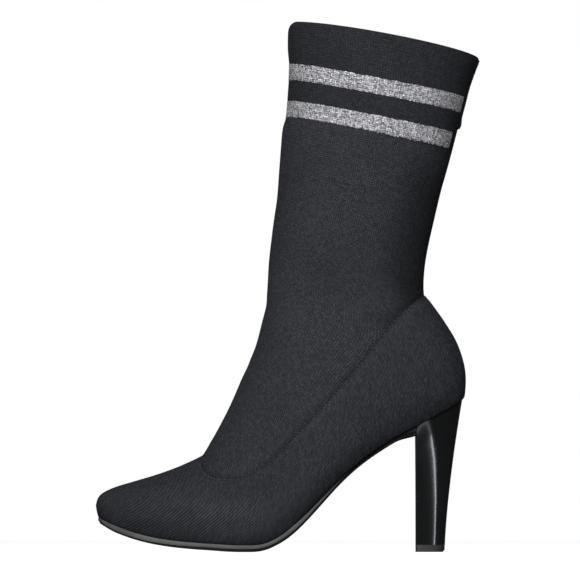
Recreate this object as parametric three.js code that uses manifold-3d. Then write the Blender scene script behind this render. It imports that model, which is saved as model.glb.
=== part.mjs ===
// A pull-on sock boot for the left foot, on a slim high heel. All lengths are in millimetres.
// The toe points along -X, the outer side of the foot faces -Y, and the floor is z = 0.
// The origin is the middle of the heel tip's face on the floor.
import * as THREE from "three";
import { mergeVertices } from "three/addons/utils/BufferGeometryUtils.js";
import Module from "manifold-3d";

const wasm = await Module();
wasm.setup();

// Foot
const FOOT_LENGTH = 221; // level, from the toe tip to the back of the counter
const BALL_WIDTH = 82;
const HEEL_HEIGHT = 92; // floor to the counter's lower edge, at the back
const TOE_SPRING = 16; // lift of the sole at the toe tip
const VAMP_RISE = 53.7; // throat above the sole, where vamp and sock meet
const THROAT_SHARE = 0.293; // place of the throat along the foot, from the toe

// Leg
const HEEL_SETBACK = 20.8; // back of the counter behind the middle of the heel tip
const ANKLE_WIDTH = 62;
const ANKLE_DEPTH = 93.4;
const ANKLE_RISE = 66.5; // back of the ankle above the counter's lower edge
const BEND_RISE = 71; // front of the ankle above the counter's lower edge
const ACHILLES_INSET = 24.6; // narrowest point of the back line, in front of the counter
const COLLAR_WIDTH = 70;
const COLLAR_DEPTH = 115.2;
const COLLAR_RISE = 225; // front of the collar above the counter's lower edge
const COLLAR_DROP = 22; // from the front of the collar to its back
const COLLAR_ARCH = 0.6; // rise of the collar's edge between front and back
const COLLAR_CORNER = 5; // round of the collar's front corner, seen from the side
const SHAFT_LEAN = 33.9; // back of the collar behind the back of the ankle

// Walls and clearances
const GAP = 0.3; // between pieces that meet along a curve
const WALL = 1.8; // doubled knit of the leg
const SHELL_STEP = 0.5; // the lasted shell stands this far out of the sock
const FORM_TUCK = 6; // the lasting form runs on below the sole line, and is cut there

// Glitter bands near the collar
const BAND_WIDTH = 10.6;
const BAND_THICKNESS = 0.5;
const BAND_PROUD = 0.1;
const BAND_TOP = 24; // collar to the first band's upper edge, at the front
const BAND_PITCH = 22.6; // from one band's upper edge to the next one's
const UPPER_BAND_STOP = 10; // half of the plain strip between a band's ends, at the back
const LOWER_BAND_STOP = 13;

// Raised centre-back seam under the collar
const SEAM_WIDTH = 5;
const SEAM_PROUD = 0.9;
const SEAM_LENGTH = 42; // down from the collar
const KNOT_WIDTH = 7;
const KNOT_LENGTH = 6;
const KNOT_PROUD = 1.5;

// Sole and heel
const SOLE_TOE = 2.4; // thickness at the toe tip
const SOLE_FORE = 3.5; // thickness under the ball
const SOLE_WAIST = 2.4; // thickness under the arch
const SOLE_END = 4.8; // thickness against the heel's breast
const SOLE_MARGIN = 0.6; // the sole's edge outside the upper, along the ball
const TOE_MARGIN = 0.4; // how far the sole's edge stands out at the toe tip
const WAIST_INSET = 1.6; // the sole's edge inside the upper, under the arch
const TREAD_HEIGHT = 1.3; // lower layer of the sole's edge
const TREAD_INSET = 0.7;
const INSOLE_THICKNESS = 2;
const HEEL_INSET = 1.2; // the heel's rim inside the upper
const HEEL_TUCK = 4; // the heel runs on above the sole line, and is cut there
const HEEL_BACK_CURVE = 1.45; // how late the heel's back line leaves the vertical, going up
const HEEL_FLARE_START = 0.3; // share of the heel's height where it starts to widen
const HEEL_FLARE_END = 0.96; // share of the heel's height where it reaches its rim
const HEEL_FLARE_CURVE = 2.2; // how late it widens in between
const HEEL_TIP_FULLNESS = 2.7; // section of the heel at its tip: 2 is an ellipse, more is squarer
const HEEL_SEAT_FULLNESS = 2.1; // the same from the middle of the heel up
const HEEL_FULLNESS_END = 0.5; // share of the heel's height at which it has changed
const TIP_LENGTH = 17;
const TIP_WIDTH = 17;
const TIP_THICKNESS = 4.2;
const TIP_CORNER = 1.4; // chamfer at the tip's lower back edge

// How finely the curved pieces are cut into flat faces
const RING_POINTS = 28; // round the form
const EDGE_POINTS = 44; // along each side of the sole's outline
const HEEL_POINTS = 20; // round the heel, from one corner of its breast to the other
const HEEL_LEVELS = 14; // up the heel
const SIDE_STEP = 4; // along lines that cut across the boot
const COLLAR_STEP = 12; // along the collar's edge, behind its corner
const CORNER_STEP = 1; // along the collar's front corner
const SEARCH_STEPS = 30; // halvings in a search for a place
const SLOPE_STEP = 0.02; // in section and turn, for the direction out of the surface
const MERGE = 1e-4; // points closer than this are one
const SLIVER = 0.05; // too short to keep as an edge of its own

// How far cutting shapes run clear of the pieces
const OUTSIDE = 90; // half width
const CLEAR = 20; // past the toe, the back and the floor
const SKY = 40; // above the collar
const OPEN_TOP = 30; // of the hollow, above the form's last section
const SHELL_CLEAR = 12; // of the shell's outline, above the throat
const LAYER_OVERLAP = 0.2; // of the sole's two layers

// Places that follow from the sizes
const heelBackX = HEEL_SETBACK;
const toeX = heelBackX - FOOT_LENGTH;
const ankleBackX = heelBackX - ACHILLES_INSET;
const ankleFrontX = ankleBackX - ANKLE_DEPTH;
const collarBackX = ankleBackX + SHAFT_LEAN;
const collarFrontX = collarBackX - COLLAR_DEPTH;
const ankleBackZ = HEEL_HEIGHT + ANKLE_RISE;
const ankleFrontZ = HEEL_HEIGHT + BEND_RISE;
const collarFrontZ = HEEL_HEIGHT + COLLAR_RISE;
const collarBackZ = collarFrontZ - COLLAR_DROP;
const breastX = -TIP_LENGTH / 2;

// The sole line, where the upper ends on the sole. Columns: place along the foot from the toe,
// share of the toe spring, share of the rise to the heel.
const SOLE_LINE = [
  { along: 0, spring: 1.08, heel: 0 },
  { along: 0.012, spring: 1, heel: 0 },
  { along: 0.048, spring: 0.775, heel: 0 },
  { along: 0.092, spring: 0.54, heel: 0 },
  { along: 0.15, spring: 0.32, heel: 0 },
  { along: 0.21, spring: 0.18, heel: 0 },
  { along: 0.27, spring: 0.1, heel: 0 },
  { along: 0.33, spring: 0.045, heel: 0 },
  { along: 0.38, spring: 0, heel: 0 },
  { along: 0.443, spring: 0, heel: 0 },
  { along: 0.476, spring: 0, heel: 0.026 },
  { along: 0.517, spring: 0, heel: 0.083 },
  { along: 0.559, spring: 0, heel: 0.166 },
  { along: 0.6, spring: 0, heel: 0.273 },
  { along: 0.642, spring: 0, heel: 0.392 },
  { along: 0.684, spring: 0, heel: 0.5 },
  { along: 0.732, spring: 0, heel: 0.601 },
  { along: 0.776, spring: 0, heel: 0.676 },
  { along: 0.819, spring: 0, heel: 0.743 },
  { along: 0.869, spring: 0, heel: 0.803 },
  { along: 0.915, spring: 0, heel: 0.869 },
  { along: 0.95, spring: 0, heel: 0.917 },
  { along: 0.986, spring: 0, heel: 0.973 },
  { along: 1, spring: 0, heel: 1 },
];

// The sole is thin at the toe tip and the arch, and thickens again against the heel's breast.
const SOLE_THICKNESS = [
  { along: -0.1, thick: SOLE_TOE },
  { along: 0, thick: SOLE_TOE },
  { along: 0.06, thick: SOLE_FORE },
  { along: 0.5, thick: SOLE_FORE },
  { along: 0.6, thick: SOLE_WAIST },
  { along: 0.81, thick: SOLE_WAIST },
];

// The sole's margin grows from the toe tip, and shrinks again behind the ball, each over a share
// of the foot.
const MARGIN_SPAN = 0.15;
const BALL_END = 0.5; // where the ball ends, along the foot

// Ways to place the two ends of a section, from shares x and z of the sizes round it.
const PLACES = {
  vamp: (x, z) => {
    const px = toeX + x * FOOT_LENGTH;
    return [px, soleLine(px) + z * VAMP_RISE];
  },
  instep: (x, z) => {
    const [throatX, throatZ] = PLACES.vamp(THROAT_SHARE, 1);
    return [mix(throatX, ankleFrontX, x), mix(throatZ, ankleFrontZ, z)];
  },
  shin: (x, z) => [mix(ankleFrontX, collarFrontX, x), mix(ankleFrontZ, collarFrontZ, z)],
  sole: (x, z) => {
    const px = toeX + x * FOOT_LENGTH;
    return [px, soleLine(px) - z * FORM_TUCK];
  },
  counter: (x, z) => [heelBackX - x * ACHILLES_INSET, HEEL_HEIGHT + z * ANKLE_RISE],
  calf: (x, z) => [mix(ankleBackX, collarBackX, x), mix(ankleBackZ, collarBackZ, z)],
};

// The form of the last and leg, from the toe tip to above the collar. Each row is one section.
// Columns: where its front and back ends lie, with two shares each; the width that its own
// widths are shares of; the shift of its middle to the inner side; its outer and inner half
// widths; how far along the section it is widest; and the fullness of its front and back parts.
const COLUMNS = ["front", "fx", "fz", "back", "bx", "bz", "of", "swing", "outer", "inner",
  "belly", "frontFull", "backFull"];
const SECTIONS = [
  ["vamp", 0.002, 0.125, "vamp", 0.002, 0.125, BALL_WIDTH, 0.076, 0, 0, 0.5, 2, 2],
  ["vamp", 0.006, 0.2, "vamp", 0.006, 0.05, BALL_WIDTH, 0.076, 0.085, 0.085, 0.5, 2, 2],
  ["vamp", 0.015, 0.27, "sole", 0.015, 0.25, BALL_WIDTH, 0.076, 0.155, 0.153, 0.54, 2, 2.1],
  ["vamp", 0.032, 0.346, "sole", 0.032, 0.75, BALL_WIDTH, 0.076, 0.228, 0.222, 0.57, 2, 2.3],
  ["vamp", 0.061, 0.445, "sole", 0.061, 1.1, BALL_WIDTH, 0.075, 0.302, 0.292, 0.6, 2, 2.5],
  ["vamp", 0.11, 0.575, "sole", 0.11, 1.25, BALL_WIDTH, 0.069, 0.384, 0.366, 0.64, 2, 2.8],
  ["vamp", 0.169, 0.706, "sole", 0.176, 1.2, BALL_WIDTH, 0.057, 0.443, 0.421, 0.67, 2, 3.1],
  ["vamp", 0.231, 0.836, "sole", 0.249, 1.1, BALL_WIDTH, 0.041, 0.482, 0.461, 0.7, 1.95, 3.3],
  ["vamp", 0.281, 0.957, "sole", 0.317, 1, BALL_WIDTH, 0.025, 0.499, 0.483, 0.71, 1.9, 3.4],
  ["vamp", THROAT_SHARE, 1, "sole", 0.353, 1, BALL_WIDTH, 0.016, 0.503, 0.487, 0.71, 1.9, 3.4],
  ["instep", 0.086, 0.053, "sole", 0.389, 1, BALL_WIDTH, 0.01, 0.505, 0.485, 0.7, 1.9, 3.4],
  ["instep", 0.23, 0.146, "sole", 0.439, 1, BALL_WIDTH, 0.005, 0.5, 0.472, 0.7, 1.95, 3.3],
  ["instep", 0.412, 0.277, "sole", 0.507, 1.1, BALL_WIDTH, 0.002, 0.482, 0.448, 0.68, 2, 3.1],
  ["instep", 0.612, 0.447, "sole", 0.588, 1.05, BALL_WIDTH, 0, 0.45, 0.418, 0.64, 2, 2.9],
  ["instep", 0.778, 0.6, "sole", 0.674, 1, BALL_WIDTH, 0, 0.42, 0.398, 0.6, 2, 2.8],
  ["instep", 0.89, 0.733, "sole", 0.764, 0.95, ANKLE_WIDTH, 0, 0.532, 0.518, 0.57, 2, 2.6],
  ["instep", 0.963, 0.847, "sole", 0.855, 0.9, ANKLE_WIDTH, 0, 0.514, 0.507, 0.55, 2, 2.5],
  ["instep", 0.989, 0.933, "sole", 0.941, 0.8, ANKLE_WIDTH, 0, 0.505, 0.503, 0.54, 2, 2.45],
  ["instep", 1, 1, "sole", 0.989, 0.25, ANKLE_WIDTH, 0, 0.5, 0.5, 0.53, 2, 2.4],
  ["shin", 0.025, 0.039, "counter", 0.004, 0.09, ANKLE_WIDTH, 0, 0.5, 0.5, 0.53, 2, 2.3],
  ["shin", 0.058, 0.075, "counter", 0.024, 0.278, ANKLE_WIDTH, 0, 0.498, 0.498, 0.52, 2, 2.2],
  ["shin", 0.1, 0.107, "counter", 0.203, 0.489, ANKLE_WIDTH, 0, 0.497, 0.497, 0.51, 2, 2.1],
  ["shin", 0.142, 0.136, "counter", 0.505, 0.681, ANKLE_WIDTH, 0, 0.496, 0.496, 0.5, 2, 2],
  ["shin", 0.19, 0.166, "counter", 0.832, 0.854, ANKLE_WIDTH, 0, 0.496, 0.496, 0.5, 2, 2],
  ["shin", 0.242, 0.195, "counter", 0.985, 0.955, ANKLE_WIDTH, 0, 0.497, 0.497, 0.5, 2, 2],
  ["shin", 0.34, 0.247, "calf", 0.015, 0.07, ANKLE_WIDTH, 0, 0.5, 0.5, 0.5, 2, 2.05],
  ["shin", 0.475, 0.325, "calf", 0.08, 0.172, ANKLE_WIDTH, 0, 0.508, 0.508, 0.51, 2, 2.1],
  ["shin", 0.567, 0.429, "calf", 0.2, 0.304, ANKLE_WIDTH, 0, 0.523, 0.523, 0.52, 2, 2.15],
  ["shin", 0.65, 0.519, "calf", 0.312, 0.421, COLLAR_WIDTH, 0, 0.475, 0.475, 0.52, 2, 2.2],
  ["shin", 0.73, 0.588, "calf", 0.42, 0.515, COLLAR_WIDTH, 0, 0.483, 0.483, 0.52, 2, 2.2],
  ["shin", 0.917, 0.643, "calf", 0.49, 0.579, COLLAR_WIDTH, 0, 0.485, 0.485, 0.52, 2, 2.2],
  ["shin", 0.98, 0.72, "calf", 0.59, 0.674, COLLAR_WIDTH, 0, 0.49, 0.49, 0.52, 2, 2.2],
  ["shin", 1.06, 0.825, "calf", 0.725, 0.8, COLLAR_WIDTH, 0, 0.495, 0.495, 0.52, 2, 2.2],
  ["shin", 0.985, 0.916, "calf", 0.842, 0.905, COLLAR_WIDTH, 0, 0.5, 0.5, 0.52, 2, 2.2],
  ["shin", 1.04, 1.06, "calf", 1.08, 1.06, COLLAR_WIDTH, 0, 0.502, 0.502, 0.52, 2, 2.2],
];
const FINE_SPANS = 13; // spans from the toe to the instep that get a section halfway

// The sections between which the upper's back end meets the sole line, above it and below it.
const TOE_CLOSES = { above: 1, under: 3 };
const HEEL_CLOSES = { above: 19.5, under: 17 };

// The seam between the sock and the lasted shell, seen from the side: shares of the way from
// the throat back to the ankle, and from the sole line under the ball up to the ankle's back.
const SHELL_SEAM = [
  { back: -0.011, up: 0.33 },
  { back: 0.004, up: 0.291 },
  { back: 0.037, up: 0.267 },
  { back: 0.085, up: 0.258 },
  { back: 0.162, up: 0.258 },
  { back: 0.233, up: 0.279 },
  { back: 0.311, up: 0.327 },
  { back: 0.387, up: 0.394 },
  { back: 0.548, up: 0.541 },
  { back: 0.685, up: 0.678 },
  { back: 0.841, up: 0.843 },
  { back: 0.915, up: 0.906 },
  { back: 1, up: 0.962 },
];
const SEAM_END_SLOPE = 0.1; // rise of the same seam where it runs on behind the ankle

function mix(a, b, t) {
  return a + (b - a) * t;
}

function smooth(t) {
  const c = Math.min(1, Math.max(0, t));
  return c * c * (3 - 2 * c);
}

// A smooth line through points that never swings past them, as a function of x.
function lineThrough(points) {
  const n = points.length;
  const slopes = points.slice(1).map(([x, y], i) => (y - points[i][1]) / (x - points[i][0]));
  const tangents = points.map((_, i) => {
    if (i === 0) return slopes[0];
    if (i === n - 1) return slopes[n - 2];
    const product = slopes[i - 1] * slopes[i];
    return product <= 0 ? 0 : (2 * product) / (slopes[i - 1] + slopes[i]);
  });
  return (x) => {
    let k = 0;
    while (k < n - 2 && x > points[k + 1][0]) k += 1;
    const [x0, y0] = points[k];
    const [x1, y1] = points[k + 1];
    const width = x1 - x0;
    const t = (x - x0) / width;
    if (t < 0) return y0 + tangents[k] * (x - x0);
    if (t > 1) return y1 + tangents[k + 1] * (x - x1);
    const rise = smooth(t) * (y1 - y0);
    const lead = t * (1 - t) * (1 - t) * tangents[k] * width;
    const trail = t * t * (1 - t) * tangents[k + 1] * width;
    return y0 + rise + lead - trail;
  };
}

const soleLine = lineThrough(
  SOLE_LINE.map(({ along, spring, heel }) => [
    toeX + along * FOOT_LENGTH,
    SOLE_FORE + GAP + spring * TOE_SPRING + heel * (HEEL_HEIGHT - SOLE_FORE - GAP),
  ]),
);

const thickness = lineThrough([
  ...SOLE_THICKNESS.map(({ along, thick }) => [toeX + along * FOOT_LENGTH, thick]),
  [breastX, SOLE_END],
]);

function underside(x) {
  return soleLine(x) - GAP - thickness(x);
}

const sections = SECTIONS.map((cells) => {
  const row = Object.fromEntries(COLUMNS.map((name, i) => [name, cells[i]]));
  const [frontX, frontZ] = PLACES[row.front](row.fx, row.fz);
  const [backX, backZ] = PLACES[row.back](row.bx, row.bz);
  return [frontX, frontZ, backX, backZ, row.swing * row.of, row.outer * row.of,
    row.inner * row.of, row.belly, row.frontFull, row.backFull];
});
const LAST_SECTION = sections.length - 1;

// The section at place v, with v = 0 at the toe tip and a whole number at each table row.
function sectionAt(v) {
  const k = Math.min(LAST_SECTION - 1, Math.floor(v));
  const t = v - k;
  const b = sections[k];
  const c = sections[k + 1];
  const a = sections[k - 1] ?? b.map((value, i) => 2 * value - c[i]);
  const d = sections[k + 2] ?? c.map((value, i) => 2 * value - b[i]);
  return b.map((p, i) => {
    const bend = 2 * a[i] - 5 * p + 4 * c[i] - d[i];
    const twist = 3 * p - a[i] - 3 * c[i] + d[i];
    return p + 0.5 * t * (c[i] - a[i] + t * (bend + t * twist));
  });
}

// A point of the form: turn is 0 at a section's front end and pi at its back end, on the outer
// side up to pi and on the inner side from there.
function formPoint(v, turn) {
  const [fx, fz, bx, bz, swing, outer, inner, belly, frontFull, backFull] = sectionAt(v);
  const across = Math.abs(Math.sin(turn));
  const along = Math.abs(Math.cos(turn));
  const front = Math.cos(turn) > 0;
  const full = 2 / (front ? frontFull : backFull);
  const reach = Math.pow(along, full);
  const share = front ? belly * (1 - reach) : belly + (1 - belly) * reach;
  const half = Math.sin(turn) > 0 ? -outer : inner;
  return new THREE.Vector3(
    mix(fx, bx, share),
    swing + half * Math.pow(across, full),
    mix(fz, bz, share),
  );
}

// The same point moved out of the surface by offset, or into it where offset is negative.
function offsetPoint(v, turn, offset) {
  const point = formPoint(v, turn);
  if (offset === 0) return point;
  const lowV = Math.max(SLOPE_STEP, v - SLOPE_STEP);
  const highV = Math.min(LAST_SECTION, v + SLOPE_STEP);
  const alongV = formPoint(highV, turn).sub(formPoint(lowV, turn));
  const alongTurn = formPoint(v, turn + SLOPE_STEP).sub(formPoint(v, turn - SLOPE_STEP));
  return point.addScaledVector(alongTurn.cross(alongV).normalize(), offset);
}

function solidOf(geometry) {
  const bare = new THREE.BufferGeometry();
  bare.setAttribute("position", geometry.getAttribute("position"));
  if (geometry.index) bare.setIndex(geometry.index);
  const merged = mergeVertices(bare, MERGE);
  return new wasm.Manifold(
    new wasm.Mesh({
      numProp: 3,
      vertProperties: new Float32Array(merged.attributes.position.array),
      triVerts: new Uint32Array(merged.index.array),
    }),
  );
}

// A closed solid from rings of points, with its two ends closed by a fan round a middle point.
function ringSolid(rings, startPoint, endPoint) {
  const count = rings[0].length;
  const points = [startPoint, ...rings.flat(), endPoint];
  const last = points.length - 1;
  const index = [];
  for (let j = 0; j < count; j += 1) {
    const next = (j + 1) % count;
    index.push(0, 1 + next, 1 + j);
    for (let r = 0; r < rings.length - 1; r += 1) {
      const low = 1 + r * count;
      const high = low + count;
      index.push(low + j, low + next, high + next, low + j, high + next, high + j);
    }
    const top = 1 + (rings.length - 1) * count;
    index.push(last, top + j, top + next);
  }
  const geometry = new THREE.BufferGeometry().setFromPoints(points);
  geometry.setIndex(index);
  const solid = solidOf(geometry);
  if (solid.volume() > 0) return solid;
  for (let i = 0; i < index.length; i += 3) [index[i], index[i + 1]] = [index[i + 1], index[i]];
  geometry.setIndex(index);
  return solidOf(geometry);
}

function middleOf(points) {
  return points.reduce((sum, p) => sum.add(p), new THREE.Vector3()).divideScalar(points.length);
}

// The whole form, closed at the toe and above the collar, moved out by offset. With raise, it
// runs on above its last section.
function formSolid(offset, raise = 0) {
  const stations = [];
  for (let k = 0; k < LAST_SECTION; k += 1) {
    if (k > 0) stations.push(k);
    if (k < FINE_SPANS) stations.push(k + 0.5);
  }
  stations.push(LAST_SECTION);
  const turns = Array.from({ length: RING_POINTS }, (_, j) => (j * 2 * Math.PI) / RING_POINTS);
  const rings = stations.map((v) => turns.map((turn) => offsetPoint(v, turn, offset)));
  if (raise > 0) {
    const up = new THREE.Vector3(0, 0, raise);
    rings.push(rings[rings.length - 1].map((p) => p.clone().add(up)));
  }
  const tip = formPoint(0, 0).add(new THREE.Vector3(-offset, 0, 0));
  return ringSolid(rings, tip, middleOf(rings[rings.length - 1]));
}

function shapeOf(points) {
  return new THREE.Shape(points.map(([a, b]) => new THREE.Vector2(a, b)));
}

// An outline seen from the side, as x and z, run through the whole width of the boot.
function sidePrism(points, half = OUTSIDE) {
  const geometry = new THREE.ExtrudeGeometry(shapeOf(points), {
    depth: 2 * half,
    bevelEnabled: false,
  });
  geometry.rotateX(Math.PI / 2).translate(0, half, 0);
  return solidOf(geometry);
}

// An outline seen from above, as x and y, run up from low to high.
function planPrism(points, low, high) {
  const geometry = new THREE.ExtrudeGeometry(shapeOf(points), {
    depth: high - low,
    bevelEnabled: false,
  });
  geometry.translate(0, 0, low);
  return solidOf(geometry);
}

// Places along the boot, close enough together to follow the sole line.
function stationsAlong(fromX, toX, step = SIDE_STEP) {
  const count = Math.ceil((toX - fromX) / step);
  return Array.from({ length: count + 1 }, (_, i) => mix(fromX, toX, i / count));
}

const frontX = toeX - CLEAR;
const rearX = collarBackX + CLEAR;
const floorZ = -CLEAR;
const skyZ = collarFrontZ + SKY;

// What lies below, or between, lines that are functions of x.
function below(line, fromX = frontX, toX = rearX) {
  const edge = stationsAlong(fromX, toX).map((x) => [x, line(x)]);
  return sidePrism([[fromX, floorZ], ...edge, [toX, floorZ]]);
}

function layer(low, high, fromX = frontX, toX = rearX) {
  const xs = stationsAlong(fromX, toX);
  const under = xs.map((x) => [x, low(x)]);
  const over = xs.map((x) => [x, high(x)]).reverse();
  return sidePrism([...under, ...over]);
}

// The collar's edge seen from the side: straight but for a small arch, with a round front corner.
function collarLine(x) {
  const t = (x - collarFrontX) / COLLAR_DEPTH;
  const straight = mix(collarFrontZ, collarBackZ, t) + COLLAR_ARCH * 4 * t * (1 - t);
  const inCorner = Math.min(1, Math.max(0, 1 - (x - collarFrontX) / COLLAR_CORNER));
  return straight - COLLAR_CORNER * (1 - Math.sqrt(1 - inCorner * inCorner));
}

function aboveCollar() {
  const start = collarFrontX - CORNER_STEP;
  const cornerX = collarFrontX + 2 * COLLAR_CORNER;
  const edge = stationsAlong(start, cornerX, CORNER_STEP)
    .concat(stationsAlong(cornerX + COLLAR_STEP, rearX - CORNER_STEP, COLLAR_STEP))
    .map((x) => [x, collarLine(x)]);
  const low = [[frontX, edge[0][1]]];
  return sidePrism([...low, ...edge, [rearX, edge[edge.length - 1][1]], [rearX, skyZ],
    [frontX, skyZ]]);
}

// The part of the boot that the lasted shell covers, seen from the side.
function shellSide() {
  const [throatX, throatZ] = PLACES.vamp(THROAT_SHARE, 1);
  const baseZ = SOLE_FORE + GAP;
  const seam = SHELL_SEAM.map(({ back, up }) => [
    mix(throatX, ankleBackX, back),
    mix(baseZ, ankleBackZ, up),
  ]);
  const curve = new THREE.SplineCurve(seam.map(([x, z]) => new THREE.Vector2(x, z)));
  const line = curve.getPoints(3 * seam.length).map((p) => [p.x, p.y]);
  const [lastX, lastZ] = line[line.length - 1];
  const clearZ = throatZ + SHELL_CLEAR;
  const start = [line[0][0], clearZ];
  const end = [rearX, lastZ + (rearX - lastX) * SEAM_END_SLOPE];
  return sidePrism([start, ...line, end, [rearX, floorZ], [frontX, floorZ], [frontX, clearZ]]);
}

// Half of the plain strip behind each band; band 0 is the upper one.
const BAND_STOPS = [UPPER_BAND_STOP, LOWER_BAND_STOP];

// One glitter band's outline from the side, grown on each edge.
function bandSide(number, grow) {
  const drop = BAND_TOP + number * BAND_PITCH;
  const top = (x) => mix(collarFrontZ, collarBackZ, (x - collarFrontX) / COLLAR_DEPTH) - drop;
  const start = ankleFrontX - CLEAR;
  return sidePrism([
    [start, top(start) + grow],
    [rearX, top(rearX) + grow],
    [rearX, top(rearX) - BAND_WIDTH - grow],
    [start, top(start) - BAND_WIDTH - grow],
  ]);
}

// A strip at the centre back of the leg, seen from behind.
function backStrip(width, low, high) {
  const middleX = mix(collarFrontX, collarBackX, 0.5);
  const half = width / 2;
  return planPrism([[middleX, -half], [rearX, -half], [rearX, half], [middleX, half]], low, high);
}

function seamRidge() {
  const knotTop = collarBackZ - SEAM_LENGTH + KNOT_LENGTH;
  const ridge = formSolid(SEAM_PROUD).intersect(
    backStrip(SEAM_WIDTH, collarBackZ - SEAM_LENGTH, skyZ),
  );
  const knot = formSolid(KNOT_PROUD).intersect(
    backStrip(KNOT_WIDTH, knotTop - KNOT_LENGTH, knotTop),
  );
  return ridge.add(knot);
}

function bandChannel(number) {
  const floor = formSolid(BAND_PROUD - BAND_THICKNESS - GAP);
  return bandSide(number, GAP)
    .subtract(floor)
    .subtract(backStrip(2 * (BAND_STOPS[number] - GAP), floorZ, skyZ));
}

function makeUpper() {
  const shell = formSolid(SHELL_STEP).intersect(shellSide());
  const outer = formSolid(0).add(shell).add(seamRidge());
  const hollow = formSolid(-WALL, OPEN_TOP);
  let upper = outer.subtract(hollow).subtract(below(soleLine)).subtract(aboveCollar());
  for (const number of [0, 1]) upper = upper.subtract(bandChannel(number));
  return upper;
}

function makeBand(number) {
  const outer = formSolid(BAND_PROUD);
  const inner = formSolid(BAND_PROUD - BAND_THICKNESS, OPEN_TOP);
  return outer
    .subtract(inner)
    .intersect(bandSide(number, 0))
    .subtract(backStrip(2 * BAND_STOPS[number], floorZ, skyZ));
}

function makeInsole() {
  const inside = formSolid(-WALL - GAP);
  return inside.intersect(layer(soleLine, (x) => soleLine(x) + INSOLE_THICKNESS));
}

// Where the shell's surface crosses the sole line on one side of section v, seen from above.
function solePoint(v, side) {
  const height = (turn) => {
    const p = offsetPoint(v, side * turn, SHELL_STEP);
    return p.z - soleLine(p.x);
  };
  let high = Math.PI / 2;
  let low = Math.PI;
  for (let i = 0; i < SEARCH_STEPS; i += 1) {
    const middle = (high + low) / 2;
    if (height(middle) > 0) high = middle;
    else low = middle;
  }
  const p = offsetPoint(v, side * low, SHELL_STEP);
  return [p.x, p.y];
}

// The section whose back end lies just on the sole line, between sections above and below it.
function endSection({ above, under }) {
  let [high, low] = [above, under];
  for (let i = 0; i < SEARCH_STEPS; i += 1) {
    const middle = (high + low) / 2;
    const p = offsetPoint(middle, Math.PI, SHELL_STEP);
    if (p.z > soleLine(p.x)) high = middle;
    else low = middle;
  }
  return low;
}

const toeSection = endSection(TOE_CLOSES);
const heelSection = endSection(HEEL_CLOSES);

// The upper's lower edge seen from above, once round from the toe: outer side, then inner side.
function edgeOutline() {
  const places = Array.from({ length: EDGE_POINTS + 1 }, (_, i) => {
    const t = 0.5 - 0.5 * Math.cos((Math.PI * i) / EDGE_POINTS);
    return mix(toeSection, heelSection, t);
  });
  const outer = places.map((v) => solePoint(v, 1));
  const inner = places.slice(1, -1).map((v) => solePoint(v, -1)).reverse();
  return [...outer, ...inner];
}

// An outline moved outwards by a distance that depends on x.
function grown(points, distance) {
  const count = points.length;
  return points.map(([x, y], i) => {
    const [px, py] = points[(i + count - 1) % count];
    const [nx, ny] = points[(i + 1) % count];
    const length = Math.hypot(nx - px, ny - py);
    const move = distance(x);
    return [x - (move * (py - ny)) / length, y - (move * (nx - px)) / length];
  });
}

const edge = edgeOutline();

function soleMargin(x) {
  const along = (x - toeX) / FOOT_LENGTH;
  if (along < BALL_END) return mix(TOE_MARGIN, SOLE_MARGIN, smooth(along / MARGIN_SPAN));
  return mix(SOLE_MARGIN, -WAIST_INSET, smooth((along - BALL_END) / MARGIN_SPAN));
}

function makeOutsole() {
  const endX = breastX - GAP;
  const top = (x) => soleLine(x) - GAP;
  const tread = (x) => underside(x) + TREAD_HEIGHT;
  const full = planPrism(grown(edge, soleMargin), floorZ, HEEL_HEIGHT);
  const narrow = planPrism(grown(edge, (x) => soleMargin(x) - TREAD_INSET), floorZ, HEEL_HEIGHT);
  const upperLayer = full.intersect(layer(tread, top, frontX, endX));
  const lowerLayer = narrow.intersect(
    layer(underside, (x) => tread(x) + LAYER_OVERLAP, frontX, endX),
  );
  return upperLayer.add(lowerLayer);
}

// Half widths of the heel's rim under the counter, one for each turn: it follows the upper's edge.
function heelRim(turns, backX) {
  const inset = grown(edge, () => -HEEL_INSET);
  const outer = lineThrough(halfOf(inset, -1));
  const inner = lineThrough(halfOf(inset, 1));
  return turns.map((turn) => {
    if (Math.abs(turn - Math.PI / 2) < MERGE) return 0;
    const [x] = heelColumn(turn, backX, 0, HEEL_SEAT_FULLNESS);
    return turn < Math.PI / 2 ? outer(x) : inner(x);
  });
}

// One side of the outline behind the arch, sorted along x.
function halfOf(points, side) {
  const startX = breastX - CLEAR;
  return points.filter(([x, y]) => x > startX && side * y >= 0).sort((a, b) => a[0] - b[0])
    .filter(([x], i, all) => i === 0 || x - all[i - 1][0] > SLIVER);
}

// A rounded D seen from above, flat at the breast: turn runs from its outer to its inner corner.
function heelColumn(turn, backX, half, fullness) {
  const round = 2 / fullness;
  const across = Math.sign(Math.cos(turn)) * Math.pow(Math.abs(Math.cos(turn)), round);
  return [mix(breastX, backX, Math.pow(Math.sin(turn), round)), -half * across];
}

const HEEL_TURNS = Array.from(
  { length: HEEL_POINTS + 1 },
  (_, i) => (i * Math.PI) / HEEL_POINTS,
);

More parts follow.
